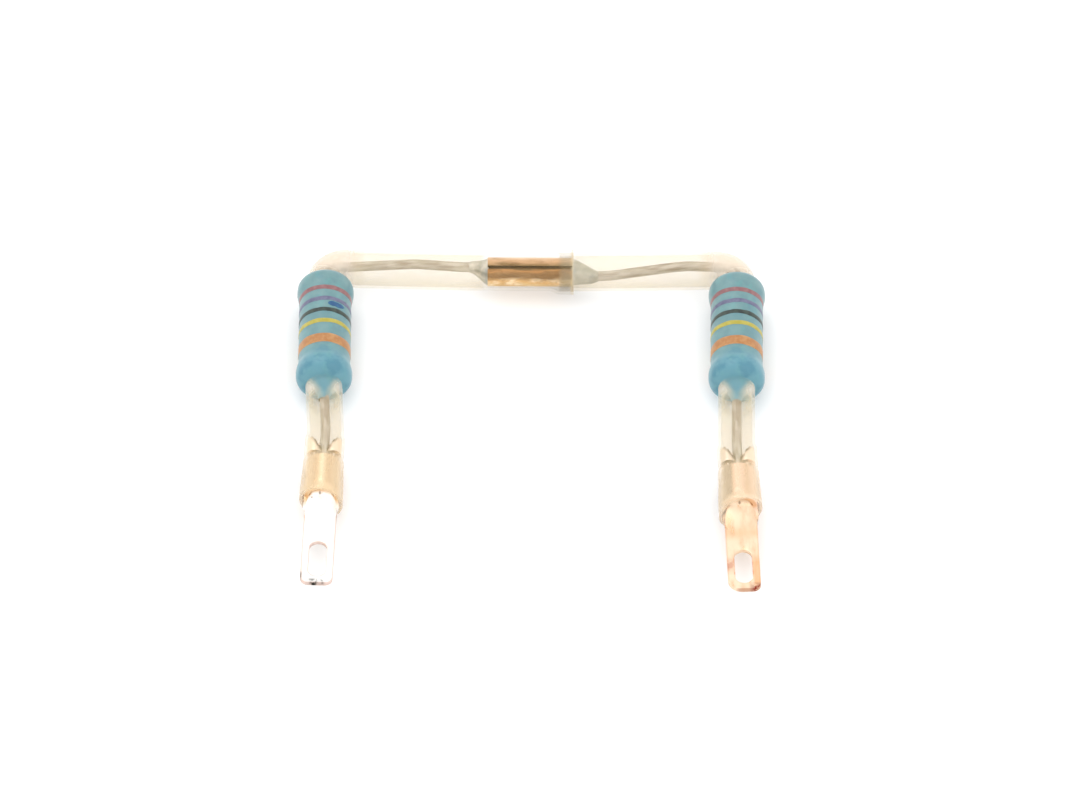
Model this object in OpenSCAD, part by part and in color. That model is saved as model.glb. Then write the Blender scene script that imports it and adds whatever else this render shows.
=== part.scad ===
// Two axial resistors in series, joined by a soldered splice and ending in slotted tab terminals.
// The assembly lies flat: bridge towards +Y, tabs towards -Y, the resistors' bulges on z = 0.

/* [Resistor body] */
// Distance between the two resistor axes
leg_spacing = 29.1; // [26:0.1:36]
// Diameter over the bulges at the caps
bulge_d = 4; // [3.9:0.05:4.4]
// Depth of the waist between the bulges
waist_depth = 0.16; // [0.1:0.01:0.2]
// Distance between the bulges' widest rings
bulge_spacing = 7.6; // [7.2:0.1:9]
// Length of the rise from waist to bulge
shoulder_len = 1; // [0.7:0.05:1.2]
// Length of the domed end beyond the bulge
dome_len = 1.2; // [1.1:0.02:1.4]
// Squareness of the dome: 2 is an ellipse, more is fuller
dome_power = 3; // [2.6:0.1:3.4]
// Lacquer over the flat end of a cap
coat_end = 0.25; // [0.2:0.01:0.3]
// Length by which the lacquer creeps along a lead towards the bridge
upper_creep_len = 0.3; // [0.2:0.02:0.3]
// Length by which the lacquer creeps along a lead towards the tab
lower_creep_len = 1.3; // [0.6:0.05:1.6]
// Radius at which the lacquer leaves the dome for the lead
creep_r = 1; // [0.8:0.02:1.05]
// Lacquer round a lead where the creep ends
creep_film = 0.03; // [0.02:0.005:0.06]
// Lacquer over the side of a cap, at the bulge
coat_side = 0.25; // [0.24:0.01:0.3]

/* [Core and leads] */
// Sheet thickness of the end caps
cap_wall = 0.25; // [0.15:0.01:0.28]
// Length of an end cap over all
cap_len = 1.8; // [1.4:0.05:2]
// Outer corner radius of an end cap
cap_corner = 0.6; // [0.5:0.02:0.8]
// Diameter of the lead wires
lead_d = 0.7; // [0.6:0.02:0.8]

/* [Colour bands] */
// Place of the first band from the body's middle, negative towards the bridge
first_band_at = -2.9; // [-3.1:0.05:-2.7]
// Distance from one digit band to the next
band_pitch = 1.05; // [0.9:0.01:1.1]
// Width of a digit band
digit_band_w = 0.38; // [0.3:0.02:0.6]
// Place of the tolerance band from the body's middle
tolerance_band_at = 1.9; // [1.6:0.05:2.2]
// Width of the tolerance band
tolerance_band_w = 0.85; // [0.6:0.02:1]
// Depth of the paint below the lacquer's surface
band_inlay = 0.06; // [0.03:0.01:0.08]
// Height of the paint above the lacquer's surface
band_proud = 0.015; // [0.005:0.005:0.03]

/* [Ink dab] */
// Place of the dab from the left body's middle
dab_at = -1.38; // [-1.5:0.01:-1.3]
// Width of the dab along the body
dab_w = 0.42; // [0.3:0.02:0.5]
// Start of the dab round the body, from +X upwards, in degrees
dab_start = 46; // [20:1:60]
// Sweep of the dab round the body, in degrees
dab_sweep = 37; // [20:1:60]

/* [Sleeves] */
// Wall of every insulating sleeve
sleeve_wall = 0.2; // [0.15:0.01:0.25]
// Room between a sleeve and the piece that stretches it
sleeve_clear = 0.04; // [0.02:0.01:0.1]
// Bore of the terminal sleeves along the bare lead
terminal_sleeve_bore = 2.2; // [2:0.02:2.3]
// Straight land of a bridge sleeve between dome and elbow
sleeve_land = 0.05; // [0.02:0.01:0.3]
// Radius left on the inside of a sleeve's elbow
elbow_inner_r = 0.05; // [0.03:0.01:0.5]

/* [Bridge leads] */
// Bend radius of a lead at its corner
corner_r = 1; // [0.8:0.05:1.05]
// Bend radius of a lead's gentle curves
curve_r = 8; // [4:0.5:9]
// Left lead: distance of its crest from the middle
left_crest_at = 8.2; // [8:0.1:9]
// Left lead: height of its crest above the bridge axis
left_crest = 0.62; // [0.5:0.02:0.7]
// Right lead: height of its corner above the bridge axis
right_corner_up = 0.2; // [0.1:0.02:0.3]
// Right lead: distance of its crest from the middle
right_crest_at = 10.8; // [10.4:0.1:11.2]
// Right lead: height of its crest above the bridge axis
right_crest = 0.52; // [0.42:0.02:0.6]
// Straight run of a lead between its last curve and its solder cone
cone_run = 0.7; // [0.6:0.05:1]

/* [Splice] */
// Length of the copper sleeve
splice_len = 6; // [5:0.1:7]
// Place of the copper sleeve's middle along the bridge
splice_at = -0.1; // [-0.5:0.05:0.5]
// Sheet thickness of the copper sleeve
splice_wall = 0.2; // [0.15:0.01:0.25]
// Gap of the copper sleeve's seam
splice_seam = 0.12; // [0.06:0.02:0.2]
// Place of the seam above the horizontal, seen from the tab side, in degrees
splice_seam_at = 66; // [30:1:100]
// Solder between the two leads
lead_gap = 0.1; // [0.05:0.01:0.16]
// Solder between a lead and the copper sleeve
solder_film = 0.075; // [0.05:0.005:0.12]
// How far the leads' ends stay inside the copper sleeve
lead_setback = 0.4; // [0.2:0.05:1]
// Length of the left solder cone
left_cone_len = 1.2; // [0.9:0.05:1.4]
// Length of the right solder cone
right_cone_len = 1.7; // [1.4:0.05:2]
// Solder round a lead at the cone's tip
cone_tip = 0.06; // [0.04:0.01:0.1]
// How far a cone's foot stays inside the copper sleeve's outer edge
cone_foot_inset = 0.05; // [0.02:0.01:0.1]
// Room between the copper sleeve and the bridge sleeves' bore
splice_clear = 0.125; // [0.05:0.005:0.2]
// Overlap of the left bridge sleeve over the end of the right one
lap_len = 1; // [0.6:0.05:1.5]
// Distance by which the lap's mouth passes the copper sleeve's end
lap_past = 0.08; // [0:0.02:0.5]
// Length over which the left sleeve stretches to the lap
lap_flare = 0.7; // [0.4:0.05:1]

/* [Tab terminal] */
// Sheet thickness of the terminal
strip_t = 0.3; // [0.24:0.01:0.34]
// Left lead: length from bulge to terminal
left_lead_len = 6.3; // [5.5:0.1:8]
// Right lead: length from bulge to terminal
right_lead_len = 7; // [5.5:0.1:8]
// Outward lean of the left terminal, in degrees
left_splay = 2; // [0.5:0.1:3]
// Outward lean of the right terminal, in degrees
right_splay = 2.5; // [0.5:0.1:3]
// Sideways step of the left lead before its terminal, towards the middle
left_jog = 0.18; // [0:0.01:0.2]
// Sideways step of the right lead before its terminal, towards the middle
right_jog = 0; // [0:0.01:0.2]
// Length over which a lead makes its sideways step
jog_run = 2.5; // [1.5:0.1:2.5]
// Upward tilt of the left blade, in degrees
left_lift = 0; // [-2:0.1:3]
// Upward tilt of the right blade, in degrees
right_lift = 3; // [-2:0.1:3]
// Length of the lead between its knee and the terminal
bend_to_terminal = 1; // [0.8:0.05:1.2]
// Length of the grip scrolls
scroll_len = 1.3; // [1:0.05:1.6]
// Outer radius of a grip scroll
scroll_r = 0.58; // [0.5:0.01:0.62]
// How deep the lead presses into each scroll
scroll_bite = 0.3; // [0.2:0.01:0.35]
// Half opening of the scrolls' flared mouth
mouth_half = 0.85; // [0.6:0.01:1]
// Half opening where the scrolls close on the lead
throat_half = 0.1; // [0.05:0.01:0.2]
// Length of the trough between scrolls and barrel
rear_trough_len = 0.9; // [0.7:0.05:1.2]
// Outer diameter of the rolled barrel
barrel_d = 2.4; // [2.2:0.02:2.5]
// Length of the rolled barrel
barrel_len = 3; // [2.5:0.1:3.5]
// Gap of the barrel's seam
barrel_seam = 0.1; // [0.06:0.01:0.2]
// Level of the solder in the barrel above the lead's axis
fill_level = 0.5; // [0.4:0.02:0.7]
// How far the solder stays behind the barrel's front
fill_setback = 0.1; // [0.05:0.01:0.3]
// Length of the trough between barrel and blade
front_trough_len = 1; // [0.8:0.05:1.3]
// Width of the blade
blade_w = 2.28; // [2.2:0.02:2.4]
// Length of the flat blade
blade_len = 6.8; // [6:0.1:8]
// Corner radius of the blade's end
blade_corner = 0.56; // [0.4:0.02:0.7]
// Width of the blade's slot
slot_w = 1.24; // [0.9:0.02:1.3]
// Length of the blade's slot over all
slot_len = 3.25; // [2.6:0.05:3.6]
// Metal left between the slot and the blade's end
slot_web = 0.6; // [0.4:0.02:0.8]
// Overlap of the blade into the front trough
blade_root = 0.15; // [0.1:0.01:0.25]
// Step from the trough's sheet up to the blade
blade_step = 0.03; // [0.02:0.005:0.06]

/* [Terminal sleeves] */
// Length over which the sleeve stretches up to the scrolls
stretch_lead = 0.5; // [0.3:0.02:0.6]
// Depth of the sleeve's neck below its bulge over the scrolls
neck_drop = 0.08; // [0.04:0.01:0.1]
// Extra stretch of the sleeve at its mouth
mouth_stretch = 0.1; // [0.05:0.01:0.15]
// Length of the sleeve past the barrel at its middle
sleeve_past = 0.6; // [0.4:0.02:0.75]
// Slant of the left sleeve's cut, in degrees
left_cut = -9; // [-12:0.5:12]
// Slant of the right sleeve's cut, in degrees
right_cut = 15; // [-16:0.5:16]

/* [Hidden] */

$fn = 64;
left = -1;
right = 1;
upper = -1;
lower = 1;
// Cuts pass this far beyond the faces that they open
over = 0.2;
// Facets on the lofted solder cones and troughs
loft_fn = 32;
// Thickness of a loft's end section
slice_t = 0.02;
// Steps along each blended stretch of a turned profile
blend_steps = 6;
// Steps round a turned corner
corner_steps = 8;
// Sides of a wire, and the turn between two of its rings in degrees
wire_sides = 16;
wire_step = 11.25;
// How far the stretched part of a sleeve starts inside the plain part
stretch_step = 0.1;

lead_r = lead_d / 2;
axis_z = bulge_d / 2;
waist_d = bulge_d - 2 * waist_depth;
bulge_at = bulge_spacing / 2;
body_half = bulge_at + dome_len;
waist_half = bulge_at - shoulder_len;
cap_r = bulge_d / 2 - coat_side;
rod_r = cap_r - cap_wall;
cap_end = body_half - coat_end;
rod_half = cap_end - cap_wall;

splice_bore_r = lead_d + lead_gap / 2 + solder_film;
splice_r = splice_bore_r + splice_wall;
lead_shift = (lead_d + lead_gap) / 2;
splice_left = splice_at - splice_len / 2;
splice_right = splice_at + splice_len / 2;

bridge_bore_r = splice_r + splice_clear;
bridge_sleeve_r = bridge_bore_r + sleeve_wall;
elbow_r = bridge_sleeve_r + elbow_inner_r;
bridge_at = bulge_at + dome_reach(bridge_bore_r) + sleeve_land + elbow_r;
lap_bore_r = bridge_sleeve_r + sleeve_clear;
lap_r = lap_bore_r + sleeve_wall;
lap_end = splice_right + lap_past;
lap_start = lap_end - lap_len;

scroll_x = lead_r + scroll_r - scroll_bite;
scroll_reach = scroll_x + scroll_r;
strip_bottom = -lead_r - strip_t;
barrel_start = scroll_len + rear_trough_len;
barrel_end = barrel_start + barrel_len;
blade_start = barrel_end + front_trough_len;
terminal_len = blade_start + blade_len;
sleeve_end = barrel_end + sleeve_past;

reach_back = bridge_at + lap_r;
reach_front = max(tab_reach(left), tab_reach(right));
body_y = (reach_front - reach_back) / 2;

// Share of a smooth rise from 0 to 1
function rise(t) = (1 - cos(180 * t)) / 2;

// Distance beyond the bulge at which the dome has narrowed to a radius
function dome_reach(r) = dome_len * pow(1 - pow(2 * r / bulge_d, dome_power), 1 / dome_power);

// Radius of the lacquer at a distance from the body's middle, between the two bulges
function coat_r(z) =
  let (climb = max(0, min(1, (abs(z) - waist_half) / shoulder_len)))
  (waist_d + (bulge_d - waist_d) * rise(climb)) / 2;

// Points of a smooth profile through [z, radius] stations, as [radius, z]
function turned(stations) = [
  for (i = [0 : len(stations) - 2], k = [0 : blend_steps - 1])
    let (a = stations[i], b = stations[i + 1], t = k / blend_steps)
    [a[1] + (b[1] - a[1]) * rise(t), a[0] + (b[0] - a[0]) * t],
  [stations[len(stations) - 1][1], stations[len(stations) - 1][0]]
];

function lead_len(side) = side == left ? left_lead_len : right_lead_len;
function splay(side) = side == left ? -left_splay : right_splay;
function lift(side) = side == left ? left_lift : right_lift;
function jog(side) = -side * (side == left ? left_jog : right_jog);
function sleeve_cut(side) = side == left ? left_cut : right_cut;

// Distance of a tab's end from the body's middle
function tab_reach(side) =
  bulge_at + lead_len(side) - bend_to_terminal
  + (bend_to_terminal + terminal_len) * cos(splay(side))
  + (blade_w / 2 - blade_corner) * abs(sin(splay(side))) + blade_corner * (1 - cos(splay(side)));

function leg_x(side) = side * leg_spacing / 2;
// Distance of a leg's knee from the body's middle
function knee_at(side) = bulge_at + lead_len(side) - bend_to_terminal;
// A point on a leg's axis, at a distance from the body's middle towards the tab
function on_leg(side, z) = [leg_x(side), body_y - z];
// A point on a terminal's axis, at a distance from the knee
function past_knee(side, run) =
  on_leg(side, knee_at(side)) + [jog(side), 0] + run * [sin(splay(side)), -cos(splay(side))];

// A path is a list of flat points, with a bend radius for each corner
function heading(p, i) = (p[i + 1] - p[i]) / norm(p[i + 1] - p[i]);
function bearing(p, i) = atan2(heading(p, i).y, heading(p, i).x);
function turn(p, i) =
  let (a = heading(p, i - 1), b = heading(p, i))
  atan2(a.x * b.y - a.y * b.x, a.x * b.x + a.y * b.y);
function rotated(v, a) = [v.x * cos(a) - v.y * sin(a), v.x * sin(a) + v.y * cos(a)];

// Stations of a rounded corner, as [point, bearing]
function corner_stations(p, radius, i) =
  let (way = heading(p, i - 1), angle = turn(p, i), steps = ceil(abs(angle) / wire_step))
  let (start = p[i] - way * radius * tan(abs(angle) / 2))
  let (centre = start + radius * sign(angle) * [-way.y, way.x])
  [for (k = [0 : steps])
    let (a = steps > 0 ? angle * k / steps : 0)
    [centre + rotated(start - centre, a), bearing(p, i - 1) + a]];

function stations(p, radii) =
  let (last = len(p) - 1)
  [
    [p[0], bearing(p, 0)],
    for (i = [1 : last - 1]) each corner_stations(p, radii[i - 1], i),
    [p[last], bearing(p, last - 1)]
  ];

// A wire of round section along a path at the height of the axis
module wire(p, radii) {
  way = stations(p, radii);
  rings = len(way);
  points = [for (s = way, k = [0 : wire_sides - 1])
    let (a = 360 * k / wire_sides)
    [
      s[0].x - sin(s[1]) * lead_r * cos(a),
      s[0].y + cos(s[1]) * lead_r * cos(a),
      axis_z + lead_r * sin(a)
    ]];
  sides = [for (i = [0 : rings - 2], k = [0 : wire_sides - 1])
    let (a = i * wire_sides + k, b = i * wire_sides + (k + 1) % wire_sides)
    [a, a + wire_sides, b + wire_sides, b]];
  first = [for (k = [0 : wire_sides - 1]) k];
  last = [for (k = [wire_sides - 1 : -1 : 0]) (rings - 1) * wire_sides + k];
  polyhedron(points, concat(sides, [first, last]));
}

// Frame of a resistor: z runs from the body's middle towards the tab, y is up
module leg_frame(side) {
  translate([leg_x(side), body_y, axis_z])
    rotate([90, 0, 0])
      children();
}

// Frame of a terminal: z runs from its rear end towards the tab, y is up
module terminal_frame(side) {
  leg_frame(side)
    translate([jog(side), 0, knee_at(side)])
      rotate([0, splay(side), 0])
        translate([0, 0, bend_to_terminal])
          children();
}

// Frame of the bridge: z runs along +X, y is up
module bridge_frame() {
  translate([0, body_y + bridge_at, axis_z])
    rotate([90, 0, 90])
      children();
}

// Profile of the lacquer from the waist to the end of its creep along a lead
function coat_profile(creep_len) =
  let (creep_angle = acos(pow(2 * creep_r / bulge_d, dome_power / 2)))
  let (creep_start = bulge_at + dome_reach(creep_r), creep_end_r = lead_r + creep_film)
  concat(
    turned([[waist_half, waist_d / 2], [bulge_at, bulge_d / 2]]),
    [for (i = [1 : corner_steps])
      let (a = creep_angle * i / corner_steps)
      [bulge_d / 2 * pow(cos(a), 2 / dome_power), bulge_at + dome_len * pow(sin(a), 2 / dome_power)]],
    [for (i = [1 : corner_steps])
      let (t = i / corner_steps)
      [creep_end_r + (creep_r - creep_end_r) * pow(1 - t, 2), creep_start + creep_len * t]],
    [[0, creep_start + creep_len]]
  );

// Half section of the lacquered body without its hollow
module coat_section() {
  towards_bridge = coat_profile(upper_creep_len);
  last = len(towards_bridge) - 1;
  polygon(concat(
    [for (i = [last : -1 : 0]) [towards_bridge[i].x, -towards_bridge[i].y]],
    coat_profile(lower_creep_len)
  ));
}

// Half section of an end cap as a solid plug
module cap_section(end) {
  corner = [for (i = [0 : corner_steps])
    let (a = 90 * i / corner_steps)
    [cap_r - cap_corner * (1 - cos(a)), cap_end - cap_corner * (1 - sin(a))]];
  points = concat([[0, cap_end - cap_len], [cap_r, cap_end - cap_len]], corner, [[0, cap_end]]);
  polygon([for (p = points) [p.x, end * p.y]]);
}

module rod_section() {
  translate([0, -rod_half])
    square([rod_r, 2 * rod_half]);
}

// Half section of a painted ring, from below the lacquer to above it
module paint_section(at, width, top) {
  from = at - width / 2;
  stations = [for (k = [0 : blend_steps]) from + width * k / blend_steps];
  polygon(concat(
    [for (z = stations) [coat_r(z) - band_inlay, z]],
    [for (k = [blend_steps : -1 : 0]) [coat_r(stations[k]) + top, stations[k]]]
  ));
}

function band_at(i) = first_band_at + band_pitch * i;

module lacquer_coat(side) {
  color("#8fc4d6")
    leg_frame(side)
      difference() {
        rotate_extrude()
          difference() {
            coat_section();
            rod_section();
            for (end = [upper, lower])
              cap_section(end);
            translate([0, -body_half - lower_creep_len])
              square([lead_r, 2 * (body_half + lower_creep_len)]);
            for (i = [0 : 3])
              paint_section(band_at(i), digit_band_w, over);
            paint_section(tolerance_band_at, tolerance_band_w, over);
          }
        if (side == left)
          rotate([0, 0, dab_start])
            rotate_extrude(angle = dab_sweep)
              paint_section(dab_at, dab_w, over);
      }
}

module ceramic_rod(side) {
  color("#ece7da")
    leg_frame(side)
      rotate_extrude()
        rod_section();
}

module end_cap(side, end) {
  color("#b9bcbd")
    leg_frame(side)
      rotate_extrude()
        difference() {
          cap_section(end);
          rod_section();
        }
}

module digit_band(side, i, paint) {
  color(paint)
    leg_frame(side)
      rotate_extrude()
        paint_section(band_at(i), digit_band_w, band_proud);
}

module tolerance_band(side) {
  color("#c8803c")
    leg_frame(side)
      rotate_extrude()
        paint_section(tolerance_band_at, tolerance_band_w, band_proud);
}

module ink_dab() {
  color("#1c5590")
    leg_frame(left)
      rotate([0, 0, dab_start])
        rotate_extrude(angle = dab_sweep)
          paint_section(dab_at, dab_w, band_proud);
}

module bridge_wire(side) {
  crest_at = side == left ? left_crest_at : right_crest_at;
  crest = side == left ? left_crest : right_crest;
  corner_up = side == left ? 0 : right_corner_up;
  tip = side == left ? splice_left - left_cone_len : splice_right + right_cone_len;
  end = side == left ? splice_right - lead_setback : splice_left + lead_setback;
  axis_y = body_y + bridge_at;
  lane_y = axis_y - side * lead_shift;
  path = [
    on_leg(side, -cap_end),
    [leg_x(side), axis_y + corner_up],
    [side * crest_at, axis_y + crest],
    [tip + side * cone_run, lane_y],
    [end, lane_y]
  ];
  wire(path, [corner_r, curve_r, curve_r]);
}

module bridge_lead(side) {
  color("#b4ab9a")
    bridge_wire(side);
}

module terminal_wire(side) {
  path = [
    on_leg(side, cap_end),
    on_leg(side, knee_at(side) - jog_run),
    past_knee(side, 0),
    past_knee(side, bend_to_terminal + barrel_end)
  ];
  wire(path, [curve_r, curve_r]);
}

module terminal_lead(side) {
  color("#b4ab9a")
    terminal_wire(side);
}

// Stretched end of the left bridge sleeve as a turned solid, over the end of the right one
module lap_bar(wall, past) {
  bore = [
    [lap_start - lap_flare, bridge_bore_r - stretch_step],
    [lap_start, lap_bore_r],
    [past, lap_bore_r]
  ];
  bridge_frame()
    rotate_extrude()
      polygon(concat([[0, bore[0][0]]], turned([for (s = bore) [s[0], s[1] + wall]]), [[0, past]]));
}

// Elbow and straight run of a bridge sleeve, as a solid bar that ends at a distance from the middle
module elbow_bar(side, r, start, end_x) {
  axis_y = body_y + bridge_at;
  elbow_x = leg_x(side) - side * elbow_r;
  translate([leg_x(side), start, axis_z])
    rotate([-90, 0, 0])
      cylinder(h = axis_y - elbow_r - start, r = r);
  translate([elbow_x, axis_y - elbow_r, axis_z])
    rotate([0, 0, side == left ? 90 : 0])
      rotate_extrude(angle = 90)
        translate([elbow_r, 0])
          circle(r = r);
  translate([min(elbow_x, end_x), axis_y, axis_z])
    rotate([0, 90, 0])
      cylinder(h = abs(end_x - elbow_x), r = r);
}

// A bridge sleeve's form as a solid, at its outside or at its bore
module bridge_sleeve_bar(side, wall, before, past) {
  seat_y = body_y + bulge_at + dome_reach(bridge_bore_r);
  elbow_bar(side, bridge_bore_r + wall, seat_y - before, side == left ? lap_start : lap_start - past);
  if (side == left)
    lap_bar(wall, lap_end + past);
}

module bridge_sleeve(side) {
  color("#f6ecdb", 0.6)
    difference() {
      bridge_sleeve_bar(side, sleeve_wall, 0, 0);
      bridge_sleeve_bar(side, 0, over, over);
    }
}

module splice_sleeve() {
  color("#8a5f2e")
    bridge_frame()
      translate([0, 0, splice_left])
        difference() {
          cylinder(h = splice_len, r = splice_r);
          translate([0, 0, -over])
            cylinder(h = splice_len + 2 * over, r = splice_bore_r);
          rotate([0, 0, 180 - splice_seam_at])
            translate([0, -splice_seam / 2, -over])
              cube([splice_r + over, splice_seam, splice_len + 2 * over]);
        }
}

// Solder cone from the copper sleeve's end to where its lead comes out
module solder_cone(side, from, cone_len) {
  hull() {
    translate([0, 0, side == left ? from - slice_t : from])
      cylinder(h = slice_t, r = splice_r - cone_foot_inset, $fn = loft_fn);
    translate([side * lead_shift, 0, from + side * cone_len])
      cylinder(h = slice_t, r = lead_r + cone_tip, center = true, $fn = loft_fn);
  }
}

module splice_solder() {
  color("#aeb6b2")
    difference() {
      bridge_frame() {
        translate([0, 0, splice_left])
          cylinder(h = splice_len, r = splice_bore_r);
        solder_cone(left, splice_left, left_cone_len);
        solder_cone(right, splice_right, right_cone_len);
      }
      bridge_wire(left);
      bridge_wire(right);
    }
}

// Lower part of a disc, up to the lead's axis
module half_disc(r) {
  intersection() {
    circle(r = r, $fn = loft_fn);
    translate([-r, -r])
      square([2 * r, r]);
  }
}

// Sheet that changes from the flat strip to the lower half of the barrel
module trough(flat_w, flat_at, round_at) {
  round_slice = round_at > flat_at ? round_at - slice_t : round_at;
  flat_slice = round_at > flat_at ? flat_at : flat_at - slice_t;
  difference() {
    hull() {
      translate([-flat_w / 2, strip_bottom, flat_slice])
        cube([flat_w, strip_t, slice_t]);
      translate([0, 0, round_slice])
        linear_extrude(slice_t)
          half_disc(barrel_d / 2);
    }
    hull() {
      translate([-flat_w / 2, strip_bottom + strip_t, flat_slice])
        cube([flat_w, lead_r, slice_t]);
      translate([0, 0, round_slice])
        linear_extrude(slice_t) {
          half_disc(barrel_d / 2 - strip_t);
          translate([strip_t - barrel_d / 2, -slice_t])
            square([barrel_d - 2 * strip_t, lead_r]);
        }
    }
  }
}

// Two scrolls of the strip that grip the lead, with a mouth that opens towards the resistor
module grip_scrolls() {
  difference() {
    linear_extrude(scroll_len)
      difference() {
        union() {
          translate([-scroll_x, strip_bottom])
            square([2 * scroll_x, strip_t]);
          for (way = [-1, 1])
            translate([way * scroll_x, strip_bottom + scroll_r])
              difference() {
                circle(r = scroll_r);
                circle(r = scroll_r - strip_t);
              }
        }
        circle(r = lead_r);
      }
    rotate([-90, 0, 0])
      linear_extrude(scroll_r + over)
        polygon([
          [-mouth_half, over], [mouth_half, over],
          [throat_half, -scroll_len - over], [-throat_half, -scroll_len - over]
        ]);
  }
}

module rolled_barrel() {
  translate([0, 0, barrel_start])
    difference() {
      cylinder(h = barrel_len, d = barrel_d);
      translate([0, 0, -over])
        cylinder(h = barrel_len + 2 * over, d = barrel_d - 2 * strip_t);
      translate([-barrel_seam / 2, 0, -over])
        cube([barrel_seam, barrel_d, barrel_len + 2 * over]);
    }
}

module blade_outline() {
  straight = blade_root + blade_len - blade_corner;
  difference() {
    union() {
      translate([-blade_w / 2, 0])
        square([blade_w, straight]);
      translate([blade_corner - blade_w / 2, 0])
        square([blade_w - 2 * blade_corner, straight + blade_corner]);
      for (way = [-1, 1])
        translate([way * (blade_w / 2 - blade_corner), straight])
          circle(r = blade_corner);
    }
    slot_far = blade_root + blade_len - slot_web - slot_w / 2;
    slot_near = slot_far - slot_len + slot_w;
    translate([-slot_w / 2, slot_near])
      square([slot_w, slot_far - slot_near]);
    for (end = [slot_near, slot_far])
      translate([0, end])
        circle(d = slot_w);
  }
}

module slotted_blade(side) {
  translate([0, strip_bottom + blade_step, blade_start])
    rotate([-lift(side), 0, 0])
      translate([0, strip_t, -blade_root])
        rotate([90, 0, 0])
          linear_extrude(strip_t)
            blade_outline();
}

module tab_terminal(side) {
  color(side == left ? "#e6d6c4" : "#d9a878")
    terminal_frame(side) {
      grip_scrolls();
      trough(2 * scroll_x, scroll_len, barrel_start);
      rolled_barrel();
      trough(blade_w, blade_start, barrel_end);
      slotted_blade(side);
    }
}

// Solder that fills a barrel round the lead, up to a level above it
module barrel_solder(side) {
  color("#d6d2ca")
    difference() {
      terminal_frame(side)
        translate([0, 0, barrel_start])
          intersection() {
            cylinder(h = barrel_len - fill_setback, d = barrel_d - 2 * strip_t);
            translate([-barrel_d / 2, -barrel_d / 2, -over])
              cube([barrel_d, barrel_d / 2 + fill_level, barrel_len + over]);
          }
      terminal_wire(side);
    }
}

// Stretched part of a terminal sleeve as a turned solid, with an added wall
module stretched_bar(wall, past) {
  scroll_bore = scroll_reach + sleeve_clear;
  barrel_bore = barrel_d / 2 + sleeve_clear;
  bore = [
    [-stretch_lead, terminal_sleeve_bore / 2 - stretch_step],
    [0, scroll_bore],
    [scroll_len, scroll_bore],
    [scroll_len + rear_trough_len / 2, scroll_bore - neck_drop],
    [barrel_start, barrel_bore],
    [barrel_end, barrel_bore + mouth_stretch],
    [past, barrel_bore + mouth_stretch]
  ];
  rotate_extrude()
    polygon(concat([[0, -stretch_lead]], turned([for (s = bore) [s[0], s[1] + wall]]), [[0, past]]));
}

// A terminal sleeve's form as a solid, at its outside or at its bore
module terminal_sleeve_bar(side, wall, start, past) {
  leg_frame(side)
    translate([0, 0, start])
      cylinder(h = knee_at(side) + bend_to_terminal - start, r = terminal_sleeve_bore / 2 + wall);
  terminal_frame(side)
    stretched_bar(wall, past);
}

module terminal_sleeve(side) {
  seat = bulge_at + dome_reach(terminal_sleeve_bore / 2);
  past = sleeve_end + barrel_d;
  color("#f6ecdb", 0.6)
    difference() {
      terminal_sleeve_bar(side, sleeve_wall, seat, past);
      terminal_sleeve_bar(side, 0, seat - over, past + over);
      terminal_frame(side)
        translate([0, 0, sleeve_end])
          rotate([0, sleeve_cut(side), 0])
            translate([-barrel_d, -barrel_d, 0])
              cube(2 * barrel_d);
    }
}

lacquer_coat(left);  // left_lacquer_coat
ceramic_rod(left);  // left_ceramic_rod
end_cap(left, upper);  // left_upper_cap
end_cap(left, lower);  // left_lower_cap
bridge_lead(left);  // left_bridge_lead
terminal_lead(left);  // left_terminal_lead
digit_band(left, 0, "#bf6a70");  // left_red_band
digit_band(left, 1, "#8268a4");  // left_violet_band
digit_band(left, 2, "#2c3432");  // left_black_band
digit_band(left, 3, "#cbbf58");  // left_yellow_band
tolerance_band(left);  // left_tolerance_band
ink_dab();  // left_ink_dab
bridge_sleeve(left);  // left_bridge_sleeve
terminal_sleeve(left);  // left_terminal_sleeve
tab_terminal(left);  // left_tab_terminal
barrel_solder(left);  // left_barrel_solder
lacquer_coat(right);  // right_lacquer_coat
ceramic_rod(right);  // right_ceramic_rod
end_cap(right, upper);  // right_upper_cap
end_cap(right, lower);  // right_lower_cap
bridge_lead(right);  // right_bridge_lead
terminal_lead(right);  // right_terminal_lead
digit_band(right, 0, "#bf6a70");  // right_red_band
digit_band(right, 1, "#8268a4");  // right_violet_band
digit_band(right, 2, "#2c3432");  // right_black_band
digit_band(right, 3, "#cbbf58");  // right_yellow_band
tolerance_band(right);  // right_tolerance_band
bridge_sleeve(right);  // right_bridge_sleeve
terminal_sleeve(right);  // right_terminal_sleeve
tab_terminal(right);  // right_tab_terminal
barrel_solder(right);  // right_barrel_solder
splice_sleeve();
splice_solder();
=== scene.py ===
"""Dressed model of two axial resistors in series, with sleeved leads and slotted solder tabs."""

import math

import bpy
from bpy.props import FloatProperty, FloatVectorProperty, PointerProperty
from bpy.types import Operator, Panel, PropertyGroup
from mathutils import Matrix, Vector


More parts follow.
